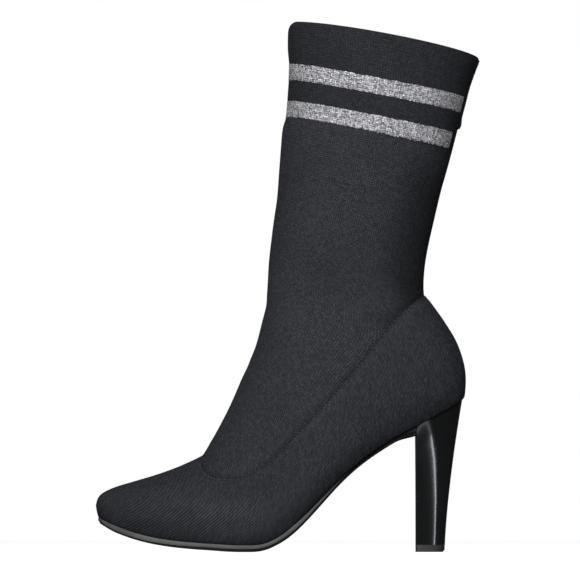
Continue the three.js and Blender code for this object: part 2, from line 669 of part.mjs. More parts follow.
function makeHeel() {
  const rimBackX = Math.max(...edge.map(([x]) => x)) - HEEL_INSET;
  const rim = heelRim(HEEL_TURNS, rimBackX - SLIVER);
  const rimBackZ = soleLine(rimBackX);
  const flareSpan = HEEL_FLARE_END - HEEL_FLARE_START;
  const levels = Array.from({ length: HEEL_LEVELS + 1 }, (_, i) => i / HEEL_LEVELS);
  const rings = levels.map((level) => HEEL_TURNS.map((turn, j) => {
    const [rimX] = heelColumn(turn, rimBackX, 0, HEEL_SEAT_FULLNESS);
    const z = mix(TIP_THICKNESS, soleLine(rimX) + HEEL_TUCK, level);
    const backX = mix(TIP_LENGTH / 2, rimBackX, Math.min(1, z / rimBackZ) ** HEEL_BACK_CURVE);
    const change = smooth(level / HEEL_FULLNESS_END);
    const fullness = mix(HEEL_TIP_FULLNESS, HEEL_SEAT_FULLNESS, change);
    const [x, columnY] = heelColumn(turn, backX, TIP_WIDTH / 2, fullness);
    const flare = Math.max(0, (level - HEEL_FLARE_START) / flareSpan);
    return new THREE.Vector3(x, mix(columnY, rim[j], Math.min(1, flare ** HEEL_FLARE_CURVE)), z);
  }));
  const block = ringSolid(rings, middleOf(rings[0]), middleOf(rings[rings.length - 1]));
  return block.intersect(below((x) => soleLine(x) - GAP));
}

function makeTip() {
  const outline = HEEL_TURNS.map((turn) => (
    heelColumn(turn, TIP_LENGTH / 2, TIP_WIDTH / 2, HEEL_TIP_FULLNESS)
  ));
  const half = TIP_LENGTH / 2;
  const side = sidePrism([
    [-half - 1, 0],
    [half - TIP_CORNER, 0],
    [half + 1, TIP_CORNER + 1],
    [half + 1, TIP_THICKNESS],
    [-half - 1, TIP_THICKNESS],
  ]);
  return planPrism(outline, 0, TIP_THICKNESS).intersect(side);
}

const KNIT = { color: 0x26282c, roughness: 0.9, metalness: 0 };
const GLITTER = { color: 0xa2a2a8, roughness: 0.45, metalness: 0.4 };
const SOLE_RUBBER = { color: 0x3a3a3c, roughness: 0.6, metalness: 0 };
const HEEL_GLOSS = { color: 0x08090a, roughness: 0.12, metalness: 0 };
const LINING = { color: 0x1c1c1e, roughness: 0.85, metalness: 0 };

const boot = new THREE.Group();

function place(name, solid, look) {
  const mesh = solid.getMesh();
  const geometry = new THREE.BufferGeometry();
  geometry.setAttribute("position", new THREE.BufferAttribute(mesh.vertProperties, 3));
  geometry.setIndex(new THREE.BufferAttribute(mesh.triVerts, 1));
  geometry.computeVertexNormals();
  const piece = new THREE.Mesh(geometry, new THREE.MeshStandardMaterial(look));
  piece.name = name;
  boot.add(piece);
}

place("upper", makeUpper(), KNIT);
place("glitter_band_upper", makeBand(0), GLITTER);
place("glitter_band_lower", makeBand(1), GLITTER);
place("insole", makeInsole(), LINING);
place("outsole", makeOutsole(), SOLE_RUBBER);
place("heel", makeHeel(), HEEL_GLOSS);
place("heel_tip", makeTip(), SOLE_RUBBER);

export default boot;
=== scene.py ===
import logging
import math
from dataclasses import dataclass, field
from enum import Enum
from typing import Any, Callable, Optional, Sequence, Union

import bmesh
import bpy
import numpy as np
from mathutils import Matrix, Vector

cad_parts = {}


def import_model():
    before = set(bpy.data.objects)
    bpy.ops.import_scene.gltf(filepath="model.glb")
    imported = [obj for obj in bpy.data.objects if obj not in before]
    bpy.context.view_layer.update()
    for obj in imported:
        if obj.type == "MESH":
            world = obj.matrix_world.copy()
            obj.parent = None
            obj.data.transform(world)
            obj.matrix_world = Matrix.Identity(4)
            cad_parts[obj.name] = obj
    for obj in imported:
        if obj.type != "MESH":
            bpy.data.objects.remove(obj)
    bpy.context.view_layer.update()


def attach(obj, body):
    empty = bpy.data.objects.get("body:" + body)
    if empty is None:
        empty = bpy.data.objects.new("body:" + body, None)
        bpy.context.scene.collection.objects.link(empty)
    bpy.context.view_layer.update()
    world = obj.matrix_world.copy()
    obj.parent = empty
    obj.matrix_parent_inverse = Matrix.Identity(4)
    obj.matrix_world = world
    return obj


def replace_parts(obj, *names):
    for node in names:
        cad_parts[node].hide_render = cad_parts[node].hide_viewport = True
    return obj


# Looks of a knitted sock boot for the left foot, on a slim high heel. All lengths are in millimetres
# until a mesh is made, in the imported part's own frame: toe along -X, outer side of the foot along -Y,
# floor at z = 0, origin under the middle of the heel tip.

log = logging.getLogger("boot")
MM = 0.001  # metres in a millimetre
Array = np.ndarray
Number = Union[float, np.ndarray]
Feed = Union[float, tuple, bpy.types.NodeSocket]
Colour = tuple[float, float, float, float]


def mix(a: Number, b: Number, t: Number) -> Number:
    """Blends two values.

    Args:
        a: Value at t = 0.
        b: Value at t = 1.
        t: Share, a number or an array.

    Returns:
        The blended value.
    """
    return a + (b - a) * t


def smooth(t: Number) -> Number:
    """Eases a share from 0 to 1 with flat ends.

    Args:
        t: Share, clipped to 0..1.

    Returns:
        The eased share.
    """
    c = np.clip(t, 0.0, 1.0)
    return c * c * (3.0 - 2.0 * c)


def bell(distance: Number, width: float) -> Number:
    """Gives a soft bump round zero.

    Args:
        distance: Signed distance from the middle.
        width: Distance at which the bump has fallen to about a third.

    Returns:
        A value from 0 to 1.
    """
    return np.exp(-((distance / width) ** 2))


def unit(vectors: Array) -> Array:
    """Scales vectors to length one.

    Args:
        vectors: Array whose last axis holds x, y, z.

    Returns:
        The unit vectors.
    """
    length = np.linalg.norm(vectors, axis=-1, keepdims=True)
    return vectors / np.maximum(length, 1e-9)


class Line:
    """A smooth line through points that never swings past them, as a function of x."""

    def __init__(self, points: Sequence[tuple[float, float]]) -> None:
        """Works out the slopes at the points.

        Args:
            points: Places and heights, in order of their places.
        """
        self.x = np.array([p[0] for p in points], float)
        self.y = np.array([p[1] for p in points], float)
        slope = np.diff(self.y) / np.diff(self.x)
        inner = slope[:-1] * slope[1:]
        total = np.where(slope[:-1] + slope[1:] == 0, 1.0, slope[:-1] + slope[1:])
        tangent = np.where(inner <= 0, 0.0, 2 * inner / total)
        self.tangent = np.concatenate([[slope[0]], tangent, [slope[-1]]])

    def __call__(self, x: Number) -> Array:
        """Gives the height of the line.

        Args:
            x: Places, a number or an array.

        Returns:
            The heights at those places.
        """
        x = np.asarray(x, float)
        k = np.clip(np.searchsorted(self.x, x, side="left") - 1, 0, len(self.x) - 2)
        x0, x1, y0, y1 = self.x[k], self.x[k + 1], self.y[k], self.y[k + 1]
        m0, m1 = self.tangent[k], self.tangent[k + 1]
        width = x1 - x0
        t = (x - x0) / width
        c = np.clip(t, 0, 1)
        inside = (
            y0 + c * c * (3 - 2 * c) * (y1 - y0)
            + c * (1 - c) ** 2 * m0 * width - c * c * (1 - c) * m1 * width
        )
        return np.where(t < 0, y0 + m0 * (x - x0), np.where(t > 1, y1 + m1 * (x - x1), inside))


@dataclass(frozen=True)
class Sizes:
    """The boot's own sizes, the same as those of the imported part."""

    foot_length: float = 221.0
    ball_width: float = 82.0
    heel_height: float = 92.0
    toe_spring: float = 16.0
    vamp_rise: float = 53.7
    throat_share: float = 0.293
    heel_setback: float = 20.8
    ankle_width: float = 62.0
    ankle_depth: float = 93.4
    ankle_rise: float = 66.5
    bend_rise: float = 71.0
    achilles_inset: float = 24.6
    collar_width: float = 70.0
    collar_depth: float = 115.2
    collar_rise: float = 225.0
    collar_drop: float = 22.0
    collar_arch: float = 0.6
    collar_corner: float = 5.0
    shaft_lean: float = 33.9
    gap: float = 0.3
    wall: float = 1.8
    shell_step: float = 0.5
    form_tuck: float = 6.0
    band_width: float = 10.6
    band_proud: float = 0.1
    band_top: float = 24.0
    band_pitch: float = 22.6
    band_stops: tuple = (10.0, 13.0)
    seam_length: float = 42.0
    sole_toe: float = 2.4
    sole_fore: float = 3.5
    sole_waist: float = 2.4
    sole_end: float = 4.8
    sole_margin: float = 0.6
    toe_margin: float = 0.4
    waist_inset: float = 1.6
    tread_height: float = 1.7
    tread_inset: float = 0.7
    insole_thickness: float = 2.0
    heel_inset: float = 1.2
    heel_tuck: float = 4.0
    heel_back_curve: float = 1.45
    heel_flare_start: float = 0.3
    heel_flare_curve: float = 2.2
    tip_length: float = 17.0
    tip_width: float = 17.0
    tip_thickness: float = 4.2
    tip_corner: float = 1.4

    @property
    def toe_x(self) -> float:
        """Returns the x of the toe tip."""
        return self.heel_setback - self.foot_length

    @property
    def ankle_back_x(self) -> float:
        """Returns the x of the narrowest point of the back line."""
        return self.heel_setback - self.achilles_inset

    @property
    def ankle_front_x(self) -> float:
        """Returns the x of the front of the ankle."""
        return self.ankle_back_x - self.ankle_depth

    @property
    def collar_back_x(self) -> float:
        """Returns the x of the back of the collar."""
        return self.ankle_back_x + self.shaft_lean

    @property
    def collar_front_x(self) -> float:
        """Returns the x of the front of the collar."""
        return self.collar_back_x - self.collar_depth

    @property
    def ankle_back_z(self) -> float:
        """Returns the height of the back of the ankle."""
        return self.heel_height + self.ankle_rise

    @property
    def ankle_front_z(self) -> float:
        """Returns the height of the front of the ankle."""
        return self.heel_height + self.bend_rise

    @property
    def collar_front_z(self) -> float:
        """Returns the height of the front of the collar."""
        return self.heel_height + self.collar_rise

    @property
    def collar_back_z(self) -> float:
        """Returns the height of the back of the collar."""
        return self.collar_front_z - self.collar_drop

    @property
    def breast_x(self) -> float:
        """Returns the x of the heel's flat front face."""
        return -self.tip_length / 2


# Sole line. Columns: place along the foot, share of the toe spring, share of the rise to the heel.
SOLE_LINE = (
    (0, 1.08, 0), (0.012, 1, 0), (0.048, 0.775, 0), (0.092, 0.54, 0), (0.15, 0.32, 0),
    (0.21, 0.18, 0), (0.27, 0.1, 0), (0.33, 0.045, 0), (0.38, 0, 0), (0.443, 0, 0),
    (0.476, 0, 0.026), (0.517, 0, 0.083), (0.559, 0, 0.166), (0.6, 0, 0.273), (0.642, 0, 0.392),
    (0.684, 0, 0.5), (0.732, 0, 0.601), (0.776, 0, 0.676), (0.819, 0, 0.743), (0.869, 0, 0.803),
    (0.915, 0, 0.869), (0.95, 0, 0.917), (0.986, 0, 0.973), (1, 0, 1),
)

# How far the sole's edge reaches up over the knit at the arch. Columns: place along the foot, height.
EDGE_RISE = (
    (0.4, 0.0), (0.46, 0.0), (0.5, 0.3), (0.553, 1.5), (0.59, 1.7), (0.65, 1.0), (0.7, 0.0),
    (0.75, 0.0),
)

# Thickness of the sole. Columns: place along the foot, which of the named thicknesses it has there.
SOLE_THICKNESS = (
    (-0.1, "toe"), (0, "toe"), (0.06, "fore"), (0.5, "fore"), (0.6, "waist"), (0.81, "waist"),
)

# Sections of the last and leg, toe to collar. Columns: place and two shares of the front end,
# place and two shares of the back end, the width the widths are shares of, shift to the inner
# side, outer and inner half widths, where it is widest, fullness of its front and back parts.
SECTIONS = (
    ("vamp", 0.002, 0.125, "vamp", 0.002, 0.125, "ball", 0.076, 0, 0, 0.5, 2, 2),
    ("vamp", 0.006, 0.2, "vamp", 0.006, 0.05, "ball", 0.076, 0.085, 0.085, 0.5, 2, 2),
    ("vamp", 0.015, 0.27, "sole", 0.015, 0.25, "ball", 0.076, 0.155, 0.153, 0.54, 2, 2.1),
    ("vamp", 0.032, 0.346, "sole", 0.032, 0.75, "ball", 0.076, 0.228, 0.222, 0.57, 2, 2.3),
    ("vamp", 0.061, 0.445, "sole", 0.061, 1.1, "ball", 0.075, 0.302, 0.292, 0.6, 2, 2.5),
    ("vamp", 0.11, 0.575, "sole", 0.11, 1.25, "ball", 0.069, 0.384, 0.366, 0.64, 2, 2.8),
    ("vamp", 0.169, 0.706, "sole", 0.176, 1.2, "ball", 0.057, 0.443, 0.421, 0.67, 2, 3.1),
    ("vamp", 0.231, 0.836, "sole", 0.249, 1.1, "ball", 0.041, 0.482, 0.461, 0.7, 1.95, 3.3),
    ("vamp", 0.281, 0.957, "sole", 0.317, 1, "ball", 0.025, 0.499, 0.483, 0.71, 1.9, 3.4),
    ("vamp", 0.293, 1, "sole", 0.353, 1, "ball", 0.016, 0.503, 0.487, 0.71, 1.9, 3.4),
    ("instep", 0.086, 0.053, "sole", 0.389, 1, "ball", 0.01, 0.505, 0.485, 0.7, 1.9, 3.4),
    ("instep", 0.23, 0.146, "sole", 0.439, 1, "ball", 0.005, 0.5, 0.472, 0.7, 1.95, 3.3),
    ("instep", 0.412, 0.277, "sole", 0.507, 1.1, "ball", 0.002, 0.482, 0.448, 0.68, 2, 3.1),
    ("instep", 0.612, 0.447, "sole", 0.588, 1.05, "ball", 0, 0.45, 0.418, 0.64, 2, 2.9),
    ("instep", 0.778, 0.6, "sole", 0.674, 1, "ball", 0, 0.42, 0.398, 0.6, 2, 2.8),
    ("instep", 0.89, 0.733, "sole", 0.764, 0.95, "ankle", 0, 0.532, 0.518, 0.57, 2, 2.6),
    ("instep", 0.963, 0.847, "sole", 0.855, 0.9, "ankle", 0, 0.514, 0.507, 0.55, 2, 2.5),
    ("instep", 0.989, 0.933, "sole", 0.941, 0.8, "ankle", 0, 0.505, 0.503, 0.54, 2, 2.45),
    ("instep", 1, 1, "sole", 0.989, 0.25, "ankle", 0, 0.5, 0.5, 0.53, 2, 2.4),
    ("shin", 0.025, 0.039, "counter", 0.004, 0.09, "ankle", 0, 0.5, 0.5, 0.53, 2, 2.3),
    ("shin", 0.058, 0.075, "counter", 0.024, 0.278, "ankle", 0, 0.498, 0.498, 0.52, 2, 2.2),
    ("shin", 0.1, 0.107, "counter", 0.203, 0.489, "ankle", 0, 0.497, 0.497, 0.51, 2, 2.1),
    ("shin", 0.142, 0.136, "counter", 0.505, 0.681, "ankle", 0, 0.496, 0.496, 0.5, 2, 2),
    ("shin", 0.19, 0.166, "counter", 0.832, 0.854, "ankle", 0, 0.496, 0.496, 0.5, 2, 2),
    ("shin", 0.242, 0.195, "counter", 0.985, 0.955, "ankle", 0, 0.497, 0.497, 0.5, 2, 2),
    ("shin", 0.34, 0.247, "calf", 0.015, 0.07, "ankle", 0, 0.5, 0.5, 0.5, 2, 2.05),
    ("shin", 0.475, 0.325, "calf", 0.08, 0.172, "ankle", 0, 0.508, 0.508, 0.51, 2, 2.1),
    ("shin", 0.567, 0.429, "calf", 0.2, 0.304, "ankle", 0, 0.523, 0.523, 0.52, 2, 2.15),
    ("shin", 0.65, 0.519, "calf", 0.312, 0.421, "collar", 0, 0.475, 0.475, 0.52, 2, 2.2),
    ("shin", 0.73, 0.588, "calf", 0.42, 0.515, "collar", 0, 0.483, 0.483, 0.52, 2, 2.2),
    ("shin", 0.917, 0.643, "calf", 0.49, 0.579, "collar", 0, 0.485, 0.485, 0.52, 2, 2.2),
    ("shin", 0.98, 0.72, "calf", 0.59, 0.674, "collar", 0, 0.49, 0.49, 0.52, 2, 2.2),
    ("shin", 1.06, 0.825, "calf", 0.725, 0.8, "collar", 0, 0.495, 0.495, 0.52, 2, 2.2),
    ("shin", 0.985, 0.916, "calf", 0.842, 0.905, "collar", 0, 0.5, 0.5, 0.52, 2, 2.2),
    ("shin", 1.04, 1.06, "calf", 1.08, 1.06, "collar", 0, 0.502, 0.502, 0.52, 2, 2.2),
)

# Seam between sock and shell, from the side. Columns: share of the way back from the throat,
# share of the way up from the sole line.
SHELL_SEAM = (
    (-0.011, 0.33), (0.004, 0.291), (0.037, 0.267), (0.085, 0.258), (0.162, 0.258),
    (0.233, 0.279), (0.311, 0.327), (0.387, 0.394), (0.548, 0.541), (0.685, 0.678),
    (0.841, 0.843), (0.915, 0.906), (1, 0.962),
)


class Side(Enum):
    """Which side of the boot a piece or a line lies on."""

    OUTER = 1
    INNER = -1


class BootForm:
    """The surface of the last and leg, worked out from the sizes and the section table.

    A place on it is given by v, which is 0 at the toe tip and a whole number at each section,
    and turn, which is 0 at a section's front end and pi at its back end; positive turns are on
    the outer side.
    """

    SOFTENING = (-5.0, -2.5, 0.0, 2.5, 5.0)
    NORMAL_STEP = 0.02
    HALVINGS = 26

    def __init__(self, sizes: Sizes) -> None:
        """Works out the section table and the lines of sole and seam.

        Args:
            sizes: The boot's sizes.
        """
        self.sizes = s = sizes
        base = s.sole_fore + s.gap
        self._exact_sole = Line([
            (s.toe_x + a * s.foot_length, base + t * s.toe_spring + h * (s.heel_height - base))
            for a, t, h in SOLE_LINE
        ])
        self.edge_rise = Line([(self._along(share), rise) for share, rise in EDGE_RISE])
        thickness = {"toe": s.sole_toe, "fore": s.sole_fore, "waist": s.sole_waist}
        self.sole_thickness = Line([
            *((self._along(share), thickness[part]) for share, part in SOLE_THICKNESS),
            (s.breast_x, s.sole_end),
        ])
        widths = {"ball": s.ball_width, "ankle": s.ankle_width, "collar": s.collar_width}
        rows = []
        for row in SECTIONS:
            front, fx, fz, back, bx, bz, of, swing, outer, inner, belly, ff, bf = row
            rows.append([
                *self._place(front, fx, fz), *self._place(back, bx, bz),
                swing * widths[of], outer * widths[of], inner * widths[of], belly, ff, bf,
            ])
        table = np.array(rows)
        self.last = len(rows) - 1
        self.table = np.vstack([2 * table[0] - table[1], table, 2 * table[-1] - table[-2]])
        self.toe_v = self._end_section(1.0, 3.0)
        self.heel_v = self._end_section(19.5, 17.0)
        self.seam = self._seam_line()

    def _along(self, share: float) -> float:
        """Returns the x at a share of the foot's length."""
        return self.sizes.toe_x + share * self.sizes.foot_length

    def sole_line(self, x: Array) -> Array:
        """Gives the height at which the upper ends on the sole's visible edge.

        Args:
            x: Places along the boot.

        Returns:
            The heights there.
        """
        return self.lasting_line(x) + self.edge_rise(x)

    def lasting_line(self, x: Array) -> Array:
        """Gives the height at which the last meets the sole, its bends a little softened.

        Args:
            x: Places along the boot.

        Returns:
            The heights there.
        """
        x = np.asarray(x, float)
        return sum(self._exact_sole(x + d) for d in self.SOFTENING) / len(self.SOFTENING)

    def _place(self, name: str, x: float, z: float) -> tuple[float, float]:
        """Gives the x and z of a section's end from its named place and shares.

        Args:
            name: Which stretch of the outline the end lies on.
            x: Share along that stretch.
            z: Share up that stretch.

        Returns:
            The end's x and z.
        """
        s = self.sizes
        px = s.toe_x + x * s.foot_length
        if name == "vamp":
            return px, float(self.lasting_line(px)) + z * s.vamp_rise
        if name == "sole":
            return px, float(self.lasting_line(px)) - z * s.form_tuck
        if name == "instep":
            throat_x, throat_z = self._place("vamp", s.throat_share, 1)
            return mix(throat_x, s.ankle_front_x, x), mix(throat_z, s.ankle_front_z, z)
        if name == "shin":
            return (mix(s.ankle_front_x, s.collar_front_x, x),
                    mix(s.ankle_front_z, s.collar_front_z, z))
        if name == "counter":
            return s.heel_setback - x * s.achilles_inset, s.heel_height + z * s.ankle_rise
        return (mix(s.ankle_back_x, s.collar_back_x, x), mix(s.ankle_back_z, s.collar_back_z, z))

    def _section(self, v: Array) -> Array:
        """Blends the section table.

        Args:
            v: Places along the boot.

        Returns:
            The ten numbers of the sections there, along a new last axis.
        """
        k = np.clip(np.floor(v).astype(int), 0, self.last - 1)
        t = (v - k)[..., None]
        a, b, c, d = (self.table[k + i] for i in range(4))
        return b + 0.5 * t * (c - a + t * (2 * a - 5 * b + 4 * c - d + t * (3 * b - a - 3 * c + d)))

    def _surface(self, v: Array, turn: Array) -> Array:
        """Gives points on the form itself.

        Args:
            v: Places along the boot.
            turn: Places round each section.

        Returns:
            An array whose last axis holds x, y, z.
        """
        v, turn = np.broadcast_arrays(np.asarray(v, float), np.asarray(turn, float))
        fx, fz, bx, bz, swing, outer, inner, belly, ff, bf = np.moveaxis(self._section(v), -1, 0)
        across, along = np.abs(np.sin(turn)), np.abs(np.cos(turn))
        front = np.cos(turn) > 0
        full = 2.0 / np.where(front, ff, bf)
        reach = along ** full
        share = np.where(front, belly * (1 - reach), belly + (1 - belly) * reach)
        half = np.where(np.sin(turn) > 0, -outer, inner)
        return np.stack([mix(fx, bx, share), swing + half * across ** full, mix(fz, bz, share)], -1)

    def normal(self, v: Array, turn: Array) -> Array:
        """Gives the directions that point out of the form.

        Args:
            v: Places along the boot.
            turn: Places round each section.

        Returns:
            The unit normals.
        """
        step = self.NORMAL_STEP
        v, turn = np.broadcast_arrays(np.asarray(v, float), np.asarray(turn, float))
        low, high = np.maximum(step, v - step), np.minimum(self.last, v + step)
        along_v = self._surface(high, turn) - self._surface(low, turn)
        along_turn = self._surface(v, turn + step) - self._surface(v, turn - step)
        return unit(np.cross(along_turn, along_v))

    def point(self, v: Array, turn: Array, offset: Number = 0.0) -> Array:
        """Returns points of the form.

        Args:
            v: Places along the boot.
            turn: Places round each section.
            offset: Distance out of the surface, a number or an array.

        Returns:
            An array whose last axis holds x, y, z in millimetres.
        """
        base = self._surface(v, turn)
        return base + self.normal(v, turn) * np.asarray(offset, float)[..., None]

    def _end_section(self, above: float, under: float) -> float:
        """Finds the section whose back end lies on the sole line.

        Args:
            above: A v whose back end lies above the line.
            under: A v whose back end lies under it.

        Returns:
            The v between them.
        """
        high, low = above, under
        for _ in range(self.HALVINGS):
            middle = 0.5 * (high + low)
            p = self.point(np.array(middle), np.array(math.pi), self.sizes.shell_step)
            if p[2] > self.sole_line(p[0]):
                high = middle
            else:
                low = middle
        return low

    def sole_turn(self, v: Array, side: Side, offset: float) -> Array:
        """Finds where the surface meets the sole line.

        Args:
            v: Places along the boot.
            side: Which side of the boot.
            offset: Distance out of the form.

        Returns:
            The turn at each place, or pi where a section ends above the sole.
        """
        low, high = np.full(v.shape, math.pi / 2), np.full(v.shape, math.pi)
        for _ in range(self.HALVINGS):
            middle = 0.5 * (low + high)
            p = self.point(v, side.value * middle, offset)
            above = p[..., 2] > self.sole_line(p[..., 0])
            low = np.where(above, middle, low)
            high = np.where(above, high, middle)
        closed = (v < self.toe_v) | (v > self.heel_v)
        return np.where(closed, math.pi, low)

    def collar_line(self, x: Array) -> Array:
        """Gives the height of the collar's edge.

        Args:
            x: Places along the boot.

        Returns:
            The heights there.
        """
        s = self.sizes
        t = (x - s.collar_front_x) / s.collar_depth
        straight = mix(s.collar_front_z, s.collar_back_z, t) + s.collar_arch * 4 * t * (1 - t)
        corner = np.clip(1 - (x - s.collar_front_x) / s.collar_corner, 0, 1)
        return straight - s.collar_corner * (1 - np.sqrt(1 - corner * corner))

    def collar_v(self, turn: Array, offset: float = 0.0) -> Array:
        """Finds where each turn reaches the collar's edge.

        Args:
            turn: Places round the leg.
            offset: Distance out of the form.

        Returns:
            The v at each turn.
        """
        low, high = np.full(turn.shape, 30.0), np.full(turn.shape, float(self.last))
        for _ in range(self.HALVINGS):
            middle = 0.5 * (low + high)
            p = self.point(middle, turn, offset)
            under = p[..., 2] < self.collar_line(p[..., 0])
            low = np.where(under, middle, low)
            high = np.where(under, high, middle)
        return low

    def _seam_line(self) -> Array:
        """Draws the seam between sock and shell, seen from the side.

        Returns:
            Fine points of x and z.
        """
        s = self.sizes
        throat_x, _ = self._place("vamp", s.throat_share, 1)
        base = s.sole_fore + s.gap
        knots = np.array([
            (mix(throat_x, s.ankle_back_x, b), mix(base, s.ankle_back_z, u)) for b, u in SHELL_SEAM
        ])
        padded = np.vstack([2 * knots[0] - knots[1], knots, 2 * knots[-1] - knots[-2]])
        out = []
        for i in range(1, len(padded) - 2):
            a, b, c, d = padded[i - 1:i + 3]
            for t in np.linspace(0, 1, 10, endpoint=False):
                out.append(b + 0.5 * t * (c - a + t * (2 * a - 5 * b + 4 * c - d
                                                       + t * (3 * b - a - 3 * c + d))))
        out.append(knots[-1])
        return np.array(out)

    def shell_depth(self, x: Array, z: Array) -> Array:
        """Returns how far a point lies inside the shell's area, seen from the side.

        Args:
            x: Places along the boot.
            z: Heights.

        Returns:
            Distance to the seam, positive on the shell and negative on the sock.
        """
        first, last = self.seam[0], self.seam[-1]
        line = np.vstack([[first[0], first[1] + 12.0], self.seam, [last[0] + 60, last[1] + 6]])
        best = np.full(x.shape, 1e9)
        for a, b in zip(line[:-1], line[1:]):
            d = b - a
            t = np.clip(((x - a[0]) * d[0] + (z - a[1]) * d[1]) / (d @ d), 0, 1)
            best = np.minimum(best, np.hypot(x - a[0] - t * d[0], z - a[1] - t * d[1]))
        top = np.interp(x, line[1:, 0], line[1:, 1])
        inside = (z < top) | (x < first[0])
        return np.where(inside, best, -best)

    def stations(self, start: float, end: float, step: float) -> Array:
        """Spreads places evenly over the surface.

        Args:
            start: First v.
            end: Last v.
            step: Distance between neighbours.

        Returns:
            The v of each place.
        """
        v = np.linspace(start, end, 1500)
        gaps = np.zeros(len(v) - 1)
        for turn in (0.0, 1.2, 2.2, math.pi):
            p = self._surface(v, np.full(v.shape, turn))
            gaps = np.maximum(gaps, np.linalg.norm(np.diff(p, axis=0), axis=1))
        length = np.concatenate([[0], np.cumsum(gaps)])
        count = max(3, int(length[-1] / step))
        return np.interp(np.linspace(0, length[-1], count + 1), length, v)


@dataclass
class Skin:
    """Points, triangles and texture places of a surface before it becomes a mesh."""

    points: Array
    tris: Array
    places: Array
    marks: dict = field(default_factory=dict)

    def clipped(self, keep: Array) -> "tuple[Skin, Array]":
        """Cuts the skin along the zero line of a field.

        Args:
            keep: One value per point; the positive side stays.

        Returns:
            The cut skin, and the pairs of points along the new edge.
        """
        inside = keep > 0
        count = inside[self.tris].sum(1)
        whole = self.tris[count == 3]
        faces, pairs, cuts = [whole], [], []
        for number in (1, 2):
            part = self.tris[count == number]
            lone = inside[part] if number == 1 else ~inside[part]
            first = lone.argmax(1)
            order = (first[:, None] + np.arange(3)) % 3
            part = np.take_along_axis(part, order, 1)
            cuts.append((number, part))
        edges = np.concatenate([
            np.concatenate([part[:, [0, 1]], part[:, [0, 2]]]) for _, part in cuts
        ])
        ordered = np.sort(edges, axis=1)
        unique, index = np.unique(ordered, axis=0, return_inverse=True)
        index = index.reshape(-1)
        a, b = unique[:, 0], unique[:, 1]
        t = (keep[a] / (keep[a] - keep[b]))[:, None]
        base = len(self.points)
        points = np.vstack([self.points, mix(self.points[a], self.points[b], t)])
        places = np.vstack([self.places, mix(self.places[a], self.places[b], t)])
        start = 0
        for number, part in cuts:
            n = len(part)
            ab = base + index[start:start + n]
            ac = base + index[start + n:start + 2 * n]
            start += 2 * n
            if number == 1:
                faces.append(np.stack([part[:, 0], ab, ac], 1))
                pairs.append(np.stack([ab, ac], 1))
            else:
                faces.append(np.stack([ab, part[:, 1], part[:, 2]], 1))
                faces.append(np.stack([ab, part[:, 2], ac], 1))
                pairs.append(np.stack([ac, ab], 1))
        tris = np.concatenate(faces)
        used, compact = np.unique(tris, return_inverse=True)
        lookup = np.full(len(points), -1)
        lookup[used] = np.arange(len(used))
        edge = lookup[np.concatenate(pairs)]
        return Skin(points[used], compact.reshape(-1, 3), places[used]), edge


def grid_tris(rows: int, cols: int, flip: bool = False) -> Array:
    """Returns the triangles of a grid of points.

    Args:
        rows: Number of rows of points.
        cols: Number of points in each row.
        flip: Turns the faces over.

    Returns:
        An array of point numbers, three for each triangle.
    """
    i = np.arange(rows * cols).reshape(rows, cols)
    a, b, c, d = i[:-1, :-1], i[:-1, 1:], i[1:, 1:], i[1:, :-1]
    tris = np.concatenate([np.stack([a, b, c], -1).reshape(-1, 3),
                           np.stack([a, c, d], -1).reshape(-1, 3)])
    return tris[:, ::-1].copy() if flip else tris


class Workshop:
    """Turns skins into Blender objects that ride on the part's body."""

    BODY = "root"

    def piece(self, name: str, skin: Skin, material: bpy.types.Material, slot: str,
              sharp: Optional[float] = None, weld: float = 1e-6) -> bpy.types.Object:
        """Makes one visible piece.

        Args:
            name: Plain name of the piece.
            skin: Its surface, in millimetres.
            material: Its finish.
            slot: Name of a material slot; not used.
            sharp: Angle in degrees above which an edge stays crisp.
            weld: Distance in metres within which points are joined.

        Returns:
            The new object.
        """
        mesh = bpy.data.meshes.new(name)
        mesh.vertices.add(len(skin.points))
        mesh.vertices.foreach_set("co", (skin.points * MM).astype(np.float32).ravel())
        n = len(skin.tris)
        mesh.loops.add(3 * n)
        mesh.loops.foreach_set("vertex_index", skin.tris.astype(np.int32).ravel())
        mesh.polygons.add(n)
        mesh.polygons.foreach_set("loop_start", np.arange(0, 3 * n, 3, dtype=np.int32))
        mesh.update(calc_edges=True)
        layer = mesh.uv_layers.new(name="lay")
        layer.data.foreach_set("uv", skin.places[skin.tris.ravel()].astype(np.float32).ravel())
        for label, mark in skin.marks.items():
            values = mesh.attributes.new(label, "FLOAT", "POINT")
            values.data.foreach_set("value", mark(skin.points).astype(np.float32))
        self._weld(mesh, weld)
        mesh.polygons.foreach_set("use_smooth", np.ones(len(mesh.polygons), dtype=bool))
        if sharp is not None:
            mesh.set_sharp_from_angle(angle=math.radians(sharp))
        mesh.materials.append(material)
        obj = bpy.data.objects.new(name, mesh)
        bpy.context.scene.collection.objects.link(obj)
        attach(obj, self.BODY)
        log.info("%s: %d triangles", name, len(mesh.polygons))
        return obj

    @staticmethod
    def _weld(mesh: bpy.types.Mesh, distance: float) -> None:
        """Joins points that lie on each other and drops flat faces.

        Args:
            mesh: The mesh to clean.
            distance: Distance in metres within which points are joined.
        """
        work = bmesh.new()
        work.from_mesh(mesh)
        bmesh.ops.remove_doubles(work, verts=work.verts, dist=distance)
        bmesh.ops.dissolve_degenerate(work, dist=1e-7, edges=work.edges)
        bmesh.ops.triangulate(work, faces=[f for f in work.faces if len(f.verts) > 3])
        work.to_mesh(mesh)
        work.free()


